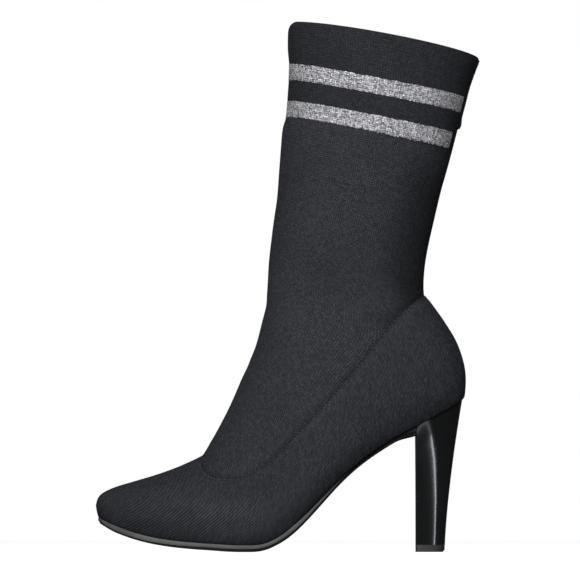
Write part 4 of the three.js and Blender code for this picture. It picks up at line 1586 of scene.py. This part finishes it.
@dataclass
class Upper:
    """The knitted upper: sock, shell and lining, and the sewing that joins them."""

    form: BootForm
    shop: Workshop
    knit: bpy.types.Material
    ribs: bpy.types.Material
    lining: bpy.types.Material
    thread: bpy.types.Material
    hole: bpy.types.Material
    skins: UpperSkins = field(init=False)
    ankle_shade: Fold = Fold((-1, 156), (-28, 131), 10.0, 0.3)
    stitch_pitch: float = 2.3
    stitch_sides: int = 6
    seam_half: float = 2.4

    def __post_init__(self) -> None:
        """Makes the maker of the skins."""
        self.skins = UpperSkins(self.form)

    def build(self) -> None:
        """Makes all the upper's pieces."""
        sock_skin = self.skins.sock()
        sock_skin.marks["shade"] = self.sock_shade
        sock = self.shop.piece("sock", sock_skin, self.knit, "knit")
        shell_skin = self.skins.shell()
        shell_skin.marks["shade"] = self.shell_shade
        shell_skin.marks["ribbing"] = self.ribbing
        shell_skin.marks["rib_place"] = self.rib_place
        shell = self.shop.piece("lasted_shell", shell_skin, self.ribs, "knit")
        lining = self.shop.piece("lining", self.skins.lining(), self.lining, "sock_lining")
        for piece in (sock, shell, lining):
            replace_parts(piece, "upper")
        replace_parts(self.seam_row("shell_stitches", self.thread, 1.2, 0.0, 1.0, 0.3, 0.34), "upper")
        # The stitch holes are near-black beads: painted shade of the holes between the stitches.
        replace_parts(self.seam_row("stitch_holes", self.hole, 0.5, 1.15, 1.0, 0.2, 0.5), "upper")
        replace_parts(self.back_seam(), "upper")

    def sock_shade(self, points: Array) -> Array:
        """Gives the sock's painted shade and light: painted shade in the seam's ditch and in the crease
        behind the ankle, and painted light at the front of the ankle.

        Args:
            points: Points of the sock.

        Returns:
            One tone per point.
        """
        x, z = points[:, 0], points[:, 2]
        depth = self.form.shell_depth(x, z)
        ditch = mix(0.16, 0.3, smooth((x + 125.0) / 40.0)) * bell(depth + 0.5, 1.5)
        crease = self.ankle_shade.height(points)
        # Painted light at the front of the ankle.
        light = 0.15 * bell(x + 88.0, 16.0) * bell(z - 153.0, 26.0)
        return (1.0 - ditch) * (1.0 - crease) * (1.0 + light)

    def ribbing(self, points: Array) -> Array:
        """Gives how far the shell is ribbed: over the toe but its tip, and low along the ball.

        Args:
            points: Points of the shell.

        Returns:
            One share per point.
        """
        x = points[:, 0]
        rise = points[:, 2] - self.form.sole_line(x)
        toe = smooth((-126.0 - x) / 26.0) * mix(1.0, 0.5, smooth((rise - 13.0) / 14.0))
        low = (1.0 - smooth((rise - 16.0) / 18.0)) * (1.0 - smooth((x + 92.0) / 34.0))
        tip = smooth((-150.0 - x) / 26.0) * (1.0 - smooth((np.abs(points[:, 1]) - 12.0) / 16.0))
        return np.maximum(toe, low) * (1.0 - tip)

    def rib_place(self, points: Array) -> Array:
        """Gives each point's place across the ribs, which lean forwards and steepen upwards.

        Args:
            points: Points of the shell.

        Returns:
            One place per point, in millimetres.
        """
        x = points[:, 0]
        rise = points[:, 2] - self.form.sole_line(x)
        bend = np.clip(rise - 12.0, 0.0, 24.0)
        lean = 1.2 * np.minimum(rise, 36.0) - 0.85 / 48.0 * bend ** 2
        return x - self.form.sizes.toe_x - lean - 0.35 * np.maximum(rise - 36.0, 0.0)

    def shell_shade(self, points: Array) -> Array:
        """Gives the shell's painted shade and light: painted shade low along its lower edge and over
        the toe, and in thin lines at the seam's edge and along the sole; a painted highlight just
        behind its seam at the back, and painted light on the arch and the toe's tip.

        Args:
            points: Points of the shell.

        Returns:
            One tone per point.
        """
        x, z = points[:, 0], points[:, 2]
        rise = z - self.form.sole_line(x)
        toe = smooth((-105.0 - x) / 50.0)
        nose = smooth((-176.0 - x) / 16.0)
        # Painted shade along the lower edge, strongest on the toe's lower wall.
        low_edge_shade = mix(0.12, mix(0.48, 0.2, nose), toe) * (1.0 - smooth((rise - 2.0) / mix(14.0, 26.0, toe)))
        depth = self.form.shell_depth(x, z)
        back = smooth((x + 110.0) / 60.0)
        # Painted highlight just behind the seam at the back, and painted shade in a thin line at the
        # seam's edge.
        lip = 0.12 * back * bell(depth - 3.0, 2.4) - mix(0.12, 0.3, back) * bell(depth, 0.7)
        # Painted shade in a thin line along the sole over the forefoot.
        under = 0.5 * bell(rise, 1.3) * smooth((-40.0 - x) / 20.0)
        # Painted light on the arch and at the toe's tip.
        light = 0.11 * bell(x + 57.0, 26.0) * bell(z - 60.0, 22.0) + 0.1 * bell(x + 193.0, 14.0)
        # The whole toe is also a little darker, painted shade.
        return (1.0 - low_edge_shade) * (1.0 + lip) * (1.0 - 0.08 * toe) * (1.0 - under) * (1.0 + light)

    def seam_turns(self, offset: float, side: Side) -> Array:
        """Finds the shell's seam on one side of the boot.

        Args:
            offset: Distance from the seam into the shell.
            side: Which side of the boot.

        Returns:
            The v and turn of points along it.
        """
        form = self.form
        inset = form.seam[3:-6]
        tangent = np.gradient(inset, axis=0)
        tangent /= np.linalg.norm(tangent, axis=1, keepdims=True)
        out = np.stack([tangent[:, 1], -tangent[:, 0]], -1)
        target = inset + out * offset
        v = np.full(len(target), 14.0)
        turn = np.full(len(target), 1.6)
        for _ in range(30):
            p = form.point(v, side.value * turn)
            dv, dt = 0.01, 0.005
            pv = (form.point(v + dv, side.value * turn) - p) / dv
            pt = (form.point(v, side.value * (turn + dt)) - p) / dt
            ex, ez = target[:, 0] - p[:, 0], target[:, 1] - p[:, 2]
            det = pv[:, 0] * pt[:, 2] - pt[:, 0] * pv[:, 2]
            det = np.where(np.abs(det) < 1e-6, 1e-6, det)
            step_v = np.clip((ex * pt[:, 2] - pt[:, 0] * ez) / det, -0.8, 0.8)
            step_t = np.clip((pv[:, 0] * ez - ex * pv[:, 2]) / det, -0.15, 0.15)
            v = np.clip(v + step_v, 5.0, 27.0)
            turn = np.clip(turn + step_t, 0.05, 3.1)
        return np.stack([v, side.value * turn], -1)

    def seam_row(self, name: str, material: bpy.types.Material, inset: float, shift: float,
                 long: float, proud: float, thick: float) -> bpy.types.Object:
        """Makes a row of stitches, or of the dark beads between them that give the stitch holes'
        painted shade, along both sides' seams.

        Args:
            name: Name of the piece.
            material: Its finish.
            inset: Distance inside the shell's edge.
            shift: Place of the first one along the seam.
            long: Length of each.
            proud: How far its middle stands out of the shell.
            thick: Half its thickness.

        Returns:
            The new piece.
        """
        points, tris = [], []
        count, sides = 0, self.stitch_sides
        for side in Side:
            places = self.seam_turns(inset, side)
            line = self.form.point(places[:, 0], places[:, 1], self.form.sizes.shell_step - 0.05)
            normal = self.form.normal(places[:, 0], places[:, 1])
            length = np.concatenate([[0], np.cumsum(np.linalg.norm(np.diff(line, axis=0), axis=1))])
            for start in np.arange(2.0 + shift, length[-1] - 2.0, self.stitch_pitch):
                sample = start + np.linspace(0, long, 5)
                path = np.stack([np.interp(sample, length, line[:, i]) for i in range(3)], -1)
                up = unit(np.stack([np.interp(sample, length, normal[:, i]) for i in range(3)], -1))
                tangent = unit(np.gradient(path, axis=0))
                across = np.cross(tangent, up)
                arch = np.array([-0.25, proud - 0.08, proud, proud - 0.08, -0.25])[:, None]
                radius = thick * np.array([0.5, 0.9, 1.0, 0.9, 0.5])[:, None]
                ring = np.linspace(0, 2 * math.pi, sides, endpoint=False)
                for i in range(5):
                    centre = path[i] + up[i] * arch[i]
                    points.append(centre + radius[i] * (np.cos(ring)[:, None] * across[i]
                                                       + np.sin(ring)[:, None] * up[i]))
                for i in range(4):
                    for j in range(sides):
                        a, b = count + i * sides + j, count + i * sides + (j + 1) % sides
                        tris += [(a, b, b + sides), (a, b + sides, a + sides)]
                count += 5 * sides
        cloud = np.concatenate(points)
        skin = Skin(cloud, np.array(tris), cloud[:, [0, 2]])
        return self.shop.piece(name, skin, material, "knit", weld=1e-8)

    def back_seam(self) -> bpy.types.Object:
        """Makes the raised seam under the back of the collar, with its knot.

        Returns:
            The new piece.
        """
        form, s = self.form, self.form.sizes
        top = float(form.collar_v(np.array(math.pi)))
        v = np.linspace(29.0, top, 400)
        line = form.point(v, np.full(v.shape, math.pi))
        below = line[-1, 2] - line[:, 2]
        rows = below <= s.seam_length
        v, line, below = v[rows], line[rows], below[rows]
        index = np.linspace(0, len(v) - 1, 64).astype(int)
        v, below = v[index], below[index]
        share = np.linspace(-1, 1, 19)
        knot = bell(below - s.seam_length + 3.2, 3.0)
        half = self.seam_half + 1.0 * knot
        tall = (0.75 + 0.12 * np.sin(below * 4.2) + 0.7 * knot) * smooth(
            (s.seam_length - below) / 1.6)
        grid = []
        for i, place in enumerate(v):
            centre = form.point(np.array(place), np.array(math.pi))
            width = half[i] * share
            turn = math.pi - width / (form.sizes.collar_width * 0.55)
            rise = tall[i] * np.sqrt(np.maximum(0, 1 - share ** 4)) - 0.12 * (np.abs(share) > 0.99)
            points = form.point(np.full(share.shape, place), turn, rise)
            points[:, 1] = centre[1] + width
            grid.append(points)
        rows = np.array(grid)
        places = np.stack([np.broadcast_to(share * self.seam_half, rows.shape[:2]),
                           np.broadcast_to(below[:, None], rows.shape[:2])], -1)
        skin = Skin(rows.reshape(-1, 3), grid_tris(*rows.shape[:2]), places.reshape(-1, 2))
        skin.marks["shade"] = self.sock_shade
        return self.shop.piece("back_seam", skin, self.knit, "knit")


@dataclass
class GlitterBand:
    """One glitter stripe, knitted into the leg below the collar."""

    form: BootForm
    shop: Workshop
    material: bpy.types.Material
    number: int
    node: str
    columns: int = 720
    ragged: float = 0.55
    bow: float = 1.7

    def build(self) -> None:
        """Makes the stripe."""
        form, s = self.form, self.form.sizes
        columns = self.columns
        share = np.linspace(-1, 1, columns)
        stop = s.band_stops[self.number] / (0.5 * s.collar_width * 0.985)
        turn = share * (math.pi - math.asin(stop ** 1.1))
        grid, places = [], []
        rng = np.random.default_rng(11 + self.number)
        rag = [np.repeat(rng.uniform(-self.ragged, self.ragged, columns // 3 + 1), 3)[:columns]
               for _ in (0, 1)]
        for k in np.linspace(0, 1, 17):
            drop = s.band_top + self.number * s.band_pitch + k * s.band_width
            edge = smooth((0.08 - k) / 0.08) * rag[0] + smooth((k - 0.92) / 0.08) * rag[1]
            v = self._level(turn, drop + edge)
            rise = s.band_proud + 0.12 * (1 - abs(2 * k - 1) ** 8) - 0.35 * (k in (0.0, 1.0))
            grid.append(form.point(v, turn, rise))
            places.append(np.stack([turn * 150 / math.pi, np.full(columns, -drop)], -1))
        rows, lay = np.array(grid), np.array(places)
        skin = Skin(rows.reshape(-1, 3), grid_tris(*rows.shape[:2], flip=True), lay.reshape(-1, 2))
        piece = self.shop.piece(self.node.replace("glitter_band", "glitter_stripe"), skin,
                                self.material, "glitter_knit")
        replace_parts(piece, self.node)

    def _level(self, turn: Array, drop: Array) -> Array:
        """Finds the places a drop below the collar's slant.

        Args:
            turn: Places round the leg.
            drop: How far below the slant each lies.

        Returns:
            The v at each turn.
        """
        form, s = self.form, self.form.sizes
        low, high = np.full(turn.shape, 27.0), np.full(turn.shape, float(form.last))
        for _ in range(24):
            middle = 0.5 * (low + high)
            p = form.point(middle, turn)
            t = (p[:, 0] - s.collar_front_x) / s.collar_depth
            level = mix(s.collar_front_z, s.collar_back_z, t) - self.bow * 4 * t * (1 - t) - drop
            under = p[:, 2] < level
            low = np.where(under, middle, low)
            high = np.where(under, high, middle)
        return low


class SoleOutline:
    """The upper's lower edge seen from above, and outlines grown from it."""

    STATIONS = 420
    POINTS = 900

    def __init__(self, form: BootForm) -> None:
        """Traces the lower edge round both sides.

        Args:
            form: The boot's form.
        """
        self.form = form
        t = 0.5 - 0.5 * np.cos(np.linspace(0, math.pi, self.STATIONS))
        v = mix(form.toe_v, form.heel_v, t)
        sides = {}
        for side in Side:
            turn = form.sole_turn(v, side, form.sizes.shell_step)
            sides[side] = form.point(v, side.value * turn, form.sizes.shell_step)[:, :2]
        loop = np.vstack([sides[Side.OUTER], sides[Side.INNER][1:-1][::-1]])
        gap = np.linalg.norm(np.diff(np.vstack([loop, loop[:1]]), axis=0), axis=1)
        length = np.concatenate([[0], np.cumsum(gap)])
        ring = np.vstack([loop, loop[:1]])
        sample = np.linspace(0, length[-1], self.POINTS, endpoint=False)
        self.loop = np.stack([np.interp(sample, length, ring[:, i]) for i in range(2)], -1)

    def grown(self, distance: Array) -> Array:
        """Moves the outline outwards.

        Args:
            distance: How far each of its points moves.

        Returns:
            The new outline.
        """
        before, after = np.roll(self.loop, 1, 0), np.roll(self.loop, -1, 0)
        d = after - before
        normal = np.stack([-d[:, 1], d[:, 0]], -1) / np.linalg.norm(d, axis=1, keepdims=True)
        return self.loop - normal * distance[:, None]

    def margin(self) -> Array:
        """Gives how far the sole's edge stands outside the upper.

        Returns:
            The distance at each point of the outline.
        """
        s = self.form.sizes
        along = (self.loop[:, 0] - s.toe_x) / s.foot_length
        fore = mix(s.toe_margin, s.sole_margin, smooth(along / 0.15))
        return np.where(along < 0.5, fore,
                        mix(s.sole_margin, -s.waist_inset, smooth((along - 0.5) / 0.15)))

    def sides_at(self, loop: Array, x: Array) -> tuple[Array, Array]:
        """Reads an outline's two sides.

        Args:
            loop: The outline.
            x: Places along the boot.

        Returns:
            The outer and the inner y there.
        """
        tip, back = loop[:, 0].argmin(), loop[:, 0].argmax()
        rolled = np.roll(loop, -tip, 0)
        turn = (back - tip) % len(loop)
        first, second = rolled[:turn + 1], np.vstack([rolled[turn:], rolled[:1]])[::-1]
        out = []
        for half in (first, second):
            order = np.maximum.accumulate(half[:, 0])
            out.append(np.interp(x, order, half[:, 1]))
        outer, inner = (out[0], out[1]) if out[0].mean() < out[1].mean() else (out[1], out[0])
        return outer, inner


@dataclass
class Sole:
    """The outsole, in an upper edge layer and a tread layer."""

    form: BootForm
    outline: SoleOutline
    shop: Workshop
    edge: bpy.types.Material
    tread: bpy.types.Material
    seating: float = 0.12
    edge_round: float = 0.25
    tread_round: float = 0.4
    toe_tread: float = 0.6

    def build(self) -> None:
        """Makes both layers."""
        layers = (
            ("sole_edge_layer", self.edge, self._top, self._split, 0.0, self.edge_round),
            ("sole_tread", self.tread, self._tread_top, self._under, -self.form.sizes.tread_inset,
             self.tread_round),
        )
        for name, material, high, low, grow, bevel in layers:
            skin = self._layer(high, low, grow, bevel)
            piece = self.shop.piece(name, skin, material, "sole_rubber", sharp=40)
            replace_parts(piece, "outsole")

    def _top(self, x: Array) -> Array:
        """Returns the height of the sole's upper face, a little into the knit."""
        return self.form.sole_line(x) + self.seating

    def _under(self, x: Array) -> Array:
        """Returns the height of the sole's lower face."""
        form = self.form
        return form.lasting_line(x) - form.sizes.gap - form.sole_thickness(x)

    def _split(self, x: Array) -> Array:
        """Returns the height at which the edge layer ends, lower at the toe."""
        share = mix(self.toe_tread, 1.0, smooth((x + 185.0) / 60.0))
        return self._under(x) + self.form.sizes.tread_height * share

    def _tread_top(self, x: Array) -> Array:
        """Returns the height of the tread's upper face, hidden in the edge layer."""
        return self._split(x) + 0.05

    def _layer(self, high: Callable[[Array], Array], low: Callable[[Array], Array], grow: float,
               bevel: float) -> Skin:
        """Lays one layer as cross-sections from the toe to the heel's breast.

        Args:
            high: Function from x to the height of its upper face.
            low: Function from x to the height of its lower face.
            grow: How far it stands outside the sole's margin.
            bevel: Size of its rounded edges.

        Returns:
            The layer's skin.
        """
        s = self.form.sizes
        margin = self.outline.margin()
        loops = [self.outline.grown(margin + grow + d) for d in (-bevel, 0.0)]
        start = max(loop[:, 0].min() for loop in loops) + 0.02
        x = mix(start, s.breast_x - s.gap, 1 - np.cos(np.linspace(0, math.pi / 2, 260)))
        small, full = (self.outline.sides_at(loop, x) for loop in loops)
        columns = []
        across, down = np.linspace(0, 1, 13), (0.2, 0.8)
        for share in across:
            columns.append(np.column_stack([x, mix(small[0], small[1], share), high(x)]))
        for share in down:
            columns.append(np.column_stack([x, full[1], mix(high(x), low(x), share)]))
        for share in across[::-1]:
            columns.append(np.column_stack([x, mix(small[0], small[1], share), low(x)]))
        for share in down[::-1]:
            columns.append(np.column_stack([x, full[0], mix(high(x), low(x), share)]))
        columns.append(columns[0])
        grid = np.array(columns).transpose(1, 0, 2)
        rows, cols = grid.shape[:2]
        points = grid.reshape(-1, 3)
        tris = grid_tris(rows, cols)
        extra, caps = [], []
        for row, flip in ((0, True), (rows - 1, False)):
            centre = grid[row, :-1].mean(0)
            number = len(points) + len(extra)
            extra.append(centre)
            ring = row * cols + np.arange(cols)
            fan = np.stack([np.full(cols - 1, number), ring[:-1], ring[1:]], -1)
            caps.append(fan[:, ::-1] if flip else fan)
        tris = np.concatenate([tris, *caps])
        points = np.vstack([points, np.array(extra)])
        return Skin(points, tris, points[:, :2])


@dataclass
class Heel:
    """The glossy heel and its rubber tip."""

    form: BootForm
    outline: SoleOutline
    shop: Workshop
    gloss: bpy.types.Material
    rubber: bpy.types.Material
    tip_fullness: float = 2.7
    seat_fullness: float = 2.1
    fullness_end: float = 0.5
    levels: int = 120
    turns: int = 73

    def column(self, turn: Array, back_x: Number, half: float,
               fullness: float) -> tuple[Array, Array]:
        """Draws a rounded D, flat at the breast.

        Args:
            turn: Places round it, 0 and pi at the breast's corners.
            back_x: The x of its back.
            half: Half its width.
            fullness: 2 for an ellipse, more for a squarer one.

        Returns:
            The x and y of each place.
        """
        s = self.form.sizes
        power = 2 / fullness
        across = np.sign(np.cos(turn)) * np.abs(np.cos(turn)) ** power
        return mix(s.breast_x, back_x, np.abs(np.sin(turn)) ** power), -half * across

    def build(self) -> None:
        """Makes the heel and its tip."""
        self._block()
        self._tip()

    def _turns(self) -> Array:
        """Returns turns from the breast's outer corner to its inner one, dense at the corners."""
        t = np.linspace(0, 1, self.turns)
        return math.pi * mix(t, 0.5 - 0.5 * np.cos(math.pi * t), 0.6)

    def _block(self) -> None:
        """Makes the heel block."""
        form, s = self.form, self.form.sizes
        rim_back = self.outline.loop[:, 0].max() - s.heel_inset
        loop = self.outline.grown(np.full(len(self.outline.loop), -s.heel_inset))
        turn = self._turns()
        rim_x, _ = self.column(turn, rim_back - 0.05, 0.0, self.seat_fullness)
        outer, inner = self.outline.sides_at(loop, rim_x)
        rim_y = np.where(turn < math.pi / 2, outer, inner)
        rim_y = np.where(np.abs(turn - math.pi / 2) < 1e-6, 0.0, rim_y)
        rim_z = float(form.sole_line(rim_back))
        rows = []
        for level in np.linspace(0, 1, self.levels):
            z = mix(s.tip_thickness, form.sole_line(rim_x) + s.heel_tuck, level)
            back = mix(s.tip_length / 2, rim_back, np.minimum(1, z / rim_z) ** s.heel_back_curve)
            fullness = mix(self.tip_fullness, self.seat_fullness,
                           float(smooth(level / self.fullness_end)))
            x, y = self.column(turn, back, s.tip_width / 2, fullness)
            flare = max(0.0, (level - s.heel_flare_start) / (0.96 - s.heel_flare_start))
            share = min(1.0, flare ** s.heel_flare_curve)
            ring = np.column_stack([x, mix(y, rim_y, share), z])
            rows.append(self._with_breast(ring))
        grid = np.array(rows)
        skin = self._closed(grid)
        keep = form.sole_line(skin.points[:, 0]) - 0.05 - skin.points[:, 2]
        skin, _ = skin.clipped(keep)
        piece = self.shop.piece("gloss_heel", skin, self.gloss, "heel_gloss", sharp=50)
        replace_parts(piece, "heel")

    @staticmethod
    def _with_breast(ring: Array) -> Array:
        """Adds the slightly rounded corners and the flat face at the breast.

        Args:
            ring: The rest of the heel's section.

        Returns:
            The closed ring.
        """
        first, last = ring[0], ring[-1]
        face = []
        for share in (0.02, 0.06, 0.5, 0.94, 0.98):
            p = mix(last, first, share)
            face.append(p - np.array([0.25 if 0.03 < share < 0.97 else 0.18, 0, 0]))
        return np.vstack([ring, face, ring[:1]])

    @staticmethod
    def _closed(grid: Array) -> Skin:
        """Closes a stack of rings at both ends.

        Args:
            grid: The rings, from the bottom up.

        Returns:
            The closed skin.
        """
        rows, cols = grid.shape[:2]
        points = grid.reshape(-1, 3)
        tris = grid_tris(rows, cols)
        bottom, top = grid[0, :-1].mean(0), grid[-1, :-1].mean(0)
        ring = np.arange(cols)
        low = np.stack([np.full(cols - 1, len(points)), ring[1:], ring[:-1]], -1)
        ring = ring + (rows - 1) * cols
        high = np.stack([np.full(cols - 1, len(points) + 1), ring[:-1], ring[1:]], -1)
        points = np.vstack([points, bottom, top])
        return Skin(points, np.concatenate([tris, low, high]), points[:, [1, 2]])

    def _tip(self) -> None:
        """Makes the rubber tip, rounded at its lower back edge."""
        s = self.form.sizes
        turn = self._turns()
        rows = []
        for z, inset in ((0, 0.35), (0.35, 0), (1.4, 0), (s.tip_thickness - 0.02, 0)):
            x, y = self.column(turn, s.tip_length / 2 - inset, s.tip_width / 2 - inset,
                               self.tip_fullness)
            cut = max(0.0, s.tip_corner - z)
            x = np.minimum(x, s.tip_length / 2 - cut)
            rows.append(self._with_breast(np.column_stack([x, y, np.full(x.shape, float(z))])))
        skin = self._closed(np.array(rows))
        piece = self.shop.piece("tip_rubber_block", skin, self.rubber, "tip_rubber", sharp=40)
        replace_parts(piece, "heel_tip")


@dataclass
class Insole:
    """The sock lining that the foot stands on."""

    form: BootForm
    shop: Workshop
    material: bpy.types.Material
    dishing: float = 0.8

    def build(self) -> None:
        """Makes the insole, slightly dished."""
        form, s = self.form, self.form.sizes
        rows = form.stations(2.6, 18.2, 2.4)
        offset = -s.wall - s.gap
        sides = []
        for side in Side:
            low, high = np.full(rows.shape, math.pi / 2), np.full(rows.shape, math.pi)
            for _ in range(form.HALVINGS):
                middle = 0.5 * (low + high)
                p = form.point(rows, side.value * middle, offset)
                above = p[:, 2] > form.sole_line(p[:, 0]) + s.insole_thickness
                low, high = np.where(above, middle, low), np.where(above, high, middle)
            sides.append(form.point(rows, side.value * low, offset))
        share = np.linspace(0, 1, 40)[None, :, None]
        grid = mix(sides[0][:, None, :], sides[1][:, None, :], share)
        dish = self.dishing * (np.abs(2 * share[..., 0] - 1) ** 2 - 1)
        grid[..., 2] = form.sole_line(grid[..., 0]) + s.insole_thickness + dish
        places = grid[..., :2]
        skin = Skin(grid.reshape(-1, 3), grid_tris(*grid.shape[:2]), places.reshape(-1, 2))
        piece = self.shop.piece("foot_bed", skin, self.material, "sock_lining")
        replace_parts(piece, "insole")


@dataclass
class Studio:
    """Floor, backdrop, lights and camera of a plain product picture."""

    distance: float = 2.3
    camera_x: float = -0.0839
    camera_z: float = 0.008
    lens: float = 238.5
    tilt: float = 3.7
    floor_size: float = 14.0
    floor_glow: float = 0.965
    strips: tuple = ((16, 0.015), (20.5, 0.03), (25, 0.08), (28.5, 0.26), (32.2, 2.0))
    strip_distance: float = 1.2

    def build(self) -> None:
        """Makes the studio."""
        bpy.context.scene.view_settings.view_transform = "Standard"
        self._camera()
        self._floor()
        self._world()
        self._lights()

    def _camera(self) -> None:
        """Places the camera low, with a long lens that looks up a little."""
        data = bpy.data.cameras.new("camera")
        data.sensor_width = 36.0
        data.lens = self.lens
        data.clip_end = 50.0
        camera = bpy.data.objects.new("camera", data)
        camera.location = (self.camera_x, -self.distance, self.camera_z)
        camera.rotation_euler = (math.radians(90.0 + self.tilt), 0.0, 0.0)
        bpy.context.scene.collection.objects.link(camera)
        bpy.context.scene.camera = camera

    def _floor(self) -> None:
        """Makes a plain pale floor."""
        size = self.floor_size
        mesh = bpy.data.meshes.new("floor")
        mesh.from_pydata([(-size, -size, 0), (size, -size, 0), (size, size, 0), (-size, size, 0)],
                         [], [(0, 1, 2, 3)])
        material = bpy.data.materials.new("studio_white")
        material.use_nodes = True
        g = Graph(material.node_tree)
        shader = material.node_tree.nodes["Principled BSDF"]
        shader.inputs["Base Color"].default_value = (0.16, 0.16, 0.16, 1)
        shader.inputs["Roughness"].default_value = 0.9
        shader.inputs["Specular IOR Level"].default_value = 0.0
        glow = g.add("ShaderNodeLightPath").outputs["Is Camera Ray"]
        shader.inputs["Emission Color"].default_value = (1, 1, 1, 1)
        g.feed(shader.inputs["Emission Strength"], g.math("MULTIPLY", glow, self.floor_glow))
        mesh.materials.append(material)
        floor = bpy.data.objects.new("floor", mesh)
        floor.visible_glossy = False
        bpy.context.scene.collection.objects.link(floor)

    def _world(self) -> None:
        """Sets an even, weak light from all round."""
        world = bpy.data.worlds.new("studio")
        world.use_nodes = True
        g = Graph(world.node_tree)
        back = world.node_tree.nodes["Background"]
        back.inputs[0].default_value = (1.0, 1.0, 1.0, 1)
        seen = g.add("ShaderNodeLightPath").outputs["Is Camera Ray"]
        g.feed(back.inputs[1], g.remap(seen, 0.0, 1.0, 0.03, 1.0, False))
        bpy.context.scene.world = world

    def _lights(self) -> None:
        """Places the soft lights; each strip has its turn in degrees and its power in watts."""
        self._light("key", (-0.55, -2.1, 0.92), (-0.08, 0, 0.14), 0.8, 46.0)
        self._light("top", (-0.4, -0.3, 1.6), (-0.1, 0, 0.1), 0.7, 1.2)
        for x in (-1.25, 1.05):
            self._light("back", (x, 2.0, 0.9), (-0.08, 0, 0.15), 1.0, 24.0, glossy=False)
        for turn, power in self.strips:
            a = math.radians(turn)
            x, y = self.strip_distance * math.sin(a), -self.strip_distance * math.cos(a)
            wide = 0.06 if turn > 30 else 0.1
            self._light("strip_high", (x, y, 0.2), (0, 0, 0.2), wide, power, 1.3)
            self._light("strip_low", (x, y, -0.8), (0, 0, -0.8), wide, 0.09 * power, 0.7)

    @staticmethod
    def _light(name: str, place: tuple, aim: tuple, wide: float, power: float,
               tall: float = 0.0, glossy: bool = True) -> None:
        """Places one soft light that points at a spot.

        Args:
            name: Name of the light.
            place: Where it stands.
            aim: The spot it points at.
            wide: Its width.
            power: Its power in watts.
            tall: Its height, the same as its width where it is left out.
            glossy: Whether glossy surfaces mirror it.
        """
        data = bpy.data.lights.new(name, "AREA")
        data.shape = "RECTANGLE"
        data.size = wide
        data.size_y = tall or wide
        data.energy = power
        if tall:
            data.color = (0.9, 0.93, 1.0)
        lamp = bpy.data.objects.new(name, data)
        lamp.location = place
        lamp.visible_glossy = glossy
        lamp.rotation_euler = (Vector(aim) - Vector(place)).to_track_quat("-Z", "Y").to_euler()
        bpy.context.scene.collection.objects.link(lamp)


def main() -> None:
    """Builds the boot and its studio."""
    logging.basicConfig(level=logging.INFO, format="%(name)s %(message)s")
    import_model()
    form = BootForm(Sizes())
    shop = Workshop()
    effects = Effects()
    skins = UpperSkins(form)
    rim = float(skins.lay_along(form.collar_v(np.array([1.35])))[0])
    # back= places the painted shade on the back of the leg.
    knit = KnitFinish("sock_knit", cuff=(rim - 60.0, rim - 55.0, 0.7),
                      back=(rim - 190.0, rim - 50.0, 0.5), shaded=True).make(effects)
    ribs = KnitFinish("shell_knit", ribbed=True, shaded=True).make(effects)
    lining = KnitFinish("lining_knit", light=(0.016, 0.016, 0.018, 1),
                        dark=(0.006, 0.006, 0.007, 1), depth=0.15).make(effects)
    thread = ThreadFinish("seam_thread", colour=(0.046, 0.048, 0.054, 1)).make(effects)
    # Near-black, the painted shade of the stitch holes.
    hole = ThreadFinish("stitch_hole", colour=(0.005, 0.005, 0.006, 1)).make(effects)
    Upper(form, shop, knit, ribs, lining, thread, hole).build()
    glitter = GlitterFinish("glitter_yarn").make(effects)
    GlitterBand(form, shop, glitter, 0, "glitter_band_upper").build()
    GlitterBand(form, shop, glitter, 1, "glitter_band_lower").build()
    outline = SoleOutline(form)
    # The edge's grey is partly its own colour and partly a painted highlight of the edge; under the
    # arch it ends in painted shade.
    edge = RubberFinish("sole_edge_grey", colour=(0.1, 0.1, 0.102, 1), rough=0.6,
                        spans=(-204.0, -194.0, -66.0, -46.0), shine=0.25).make(effects)
    tread = RubberFinish("sole_black", colour=(0.007, 0.007, 0.008, 1), shine=0.1).make(effects)
    Sole(form, outline, shop, edge, tread).build()
    gloss = GlossFinish("heel_black_gloss").make(effects)
    rubber = RubberFinish("tip_black", colour=(0.021, 0.023, 0.022, 1), rough=0.5).make(effects)
    Heel(form, outline, shop, gloss, rubber).build()
    Insole(form, shop, lining).build()
    Studio().build()


if __name__ == "__main__":
    main()
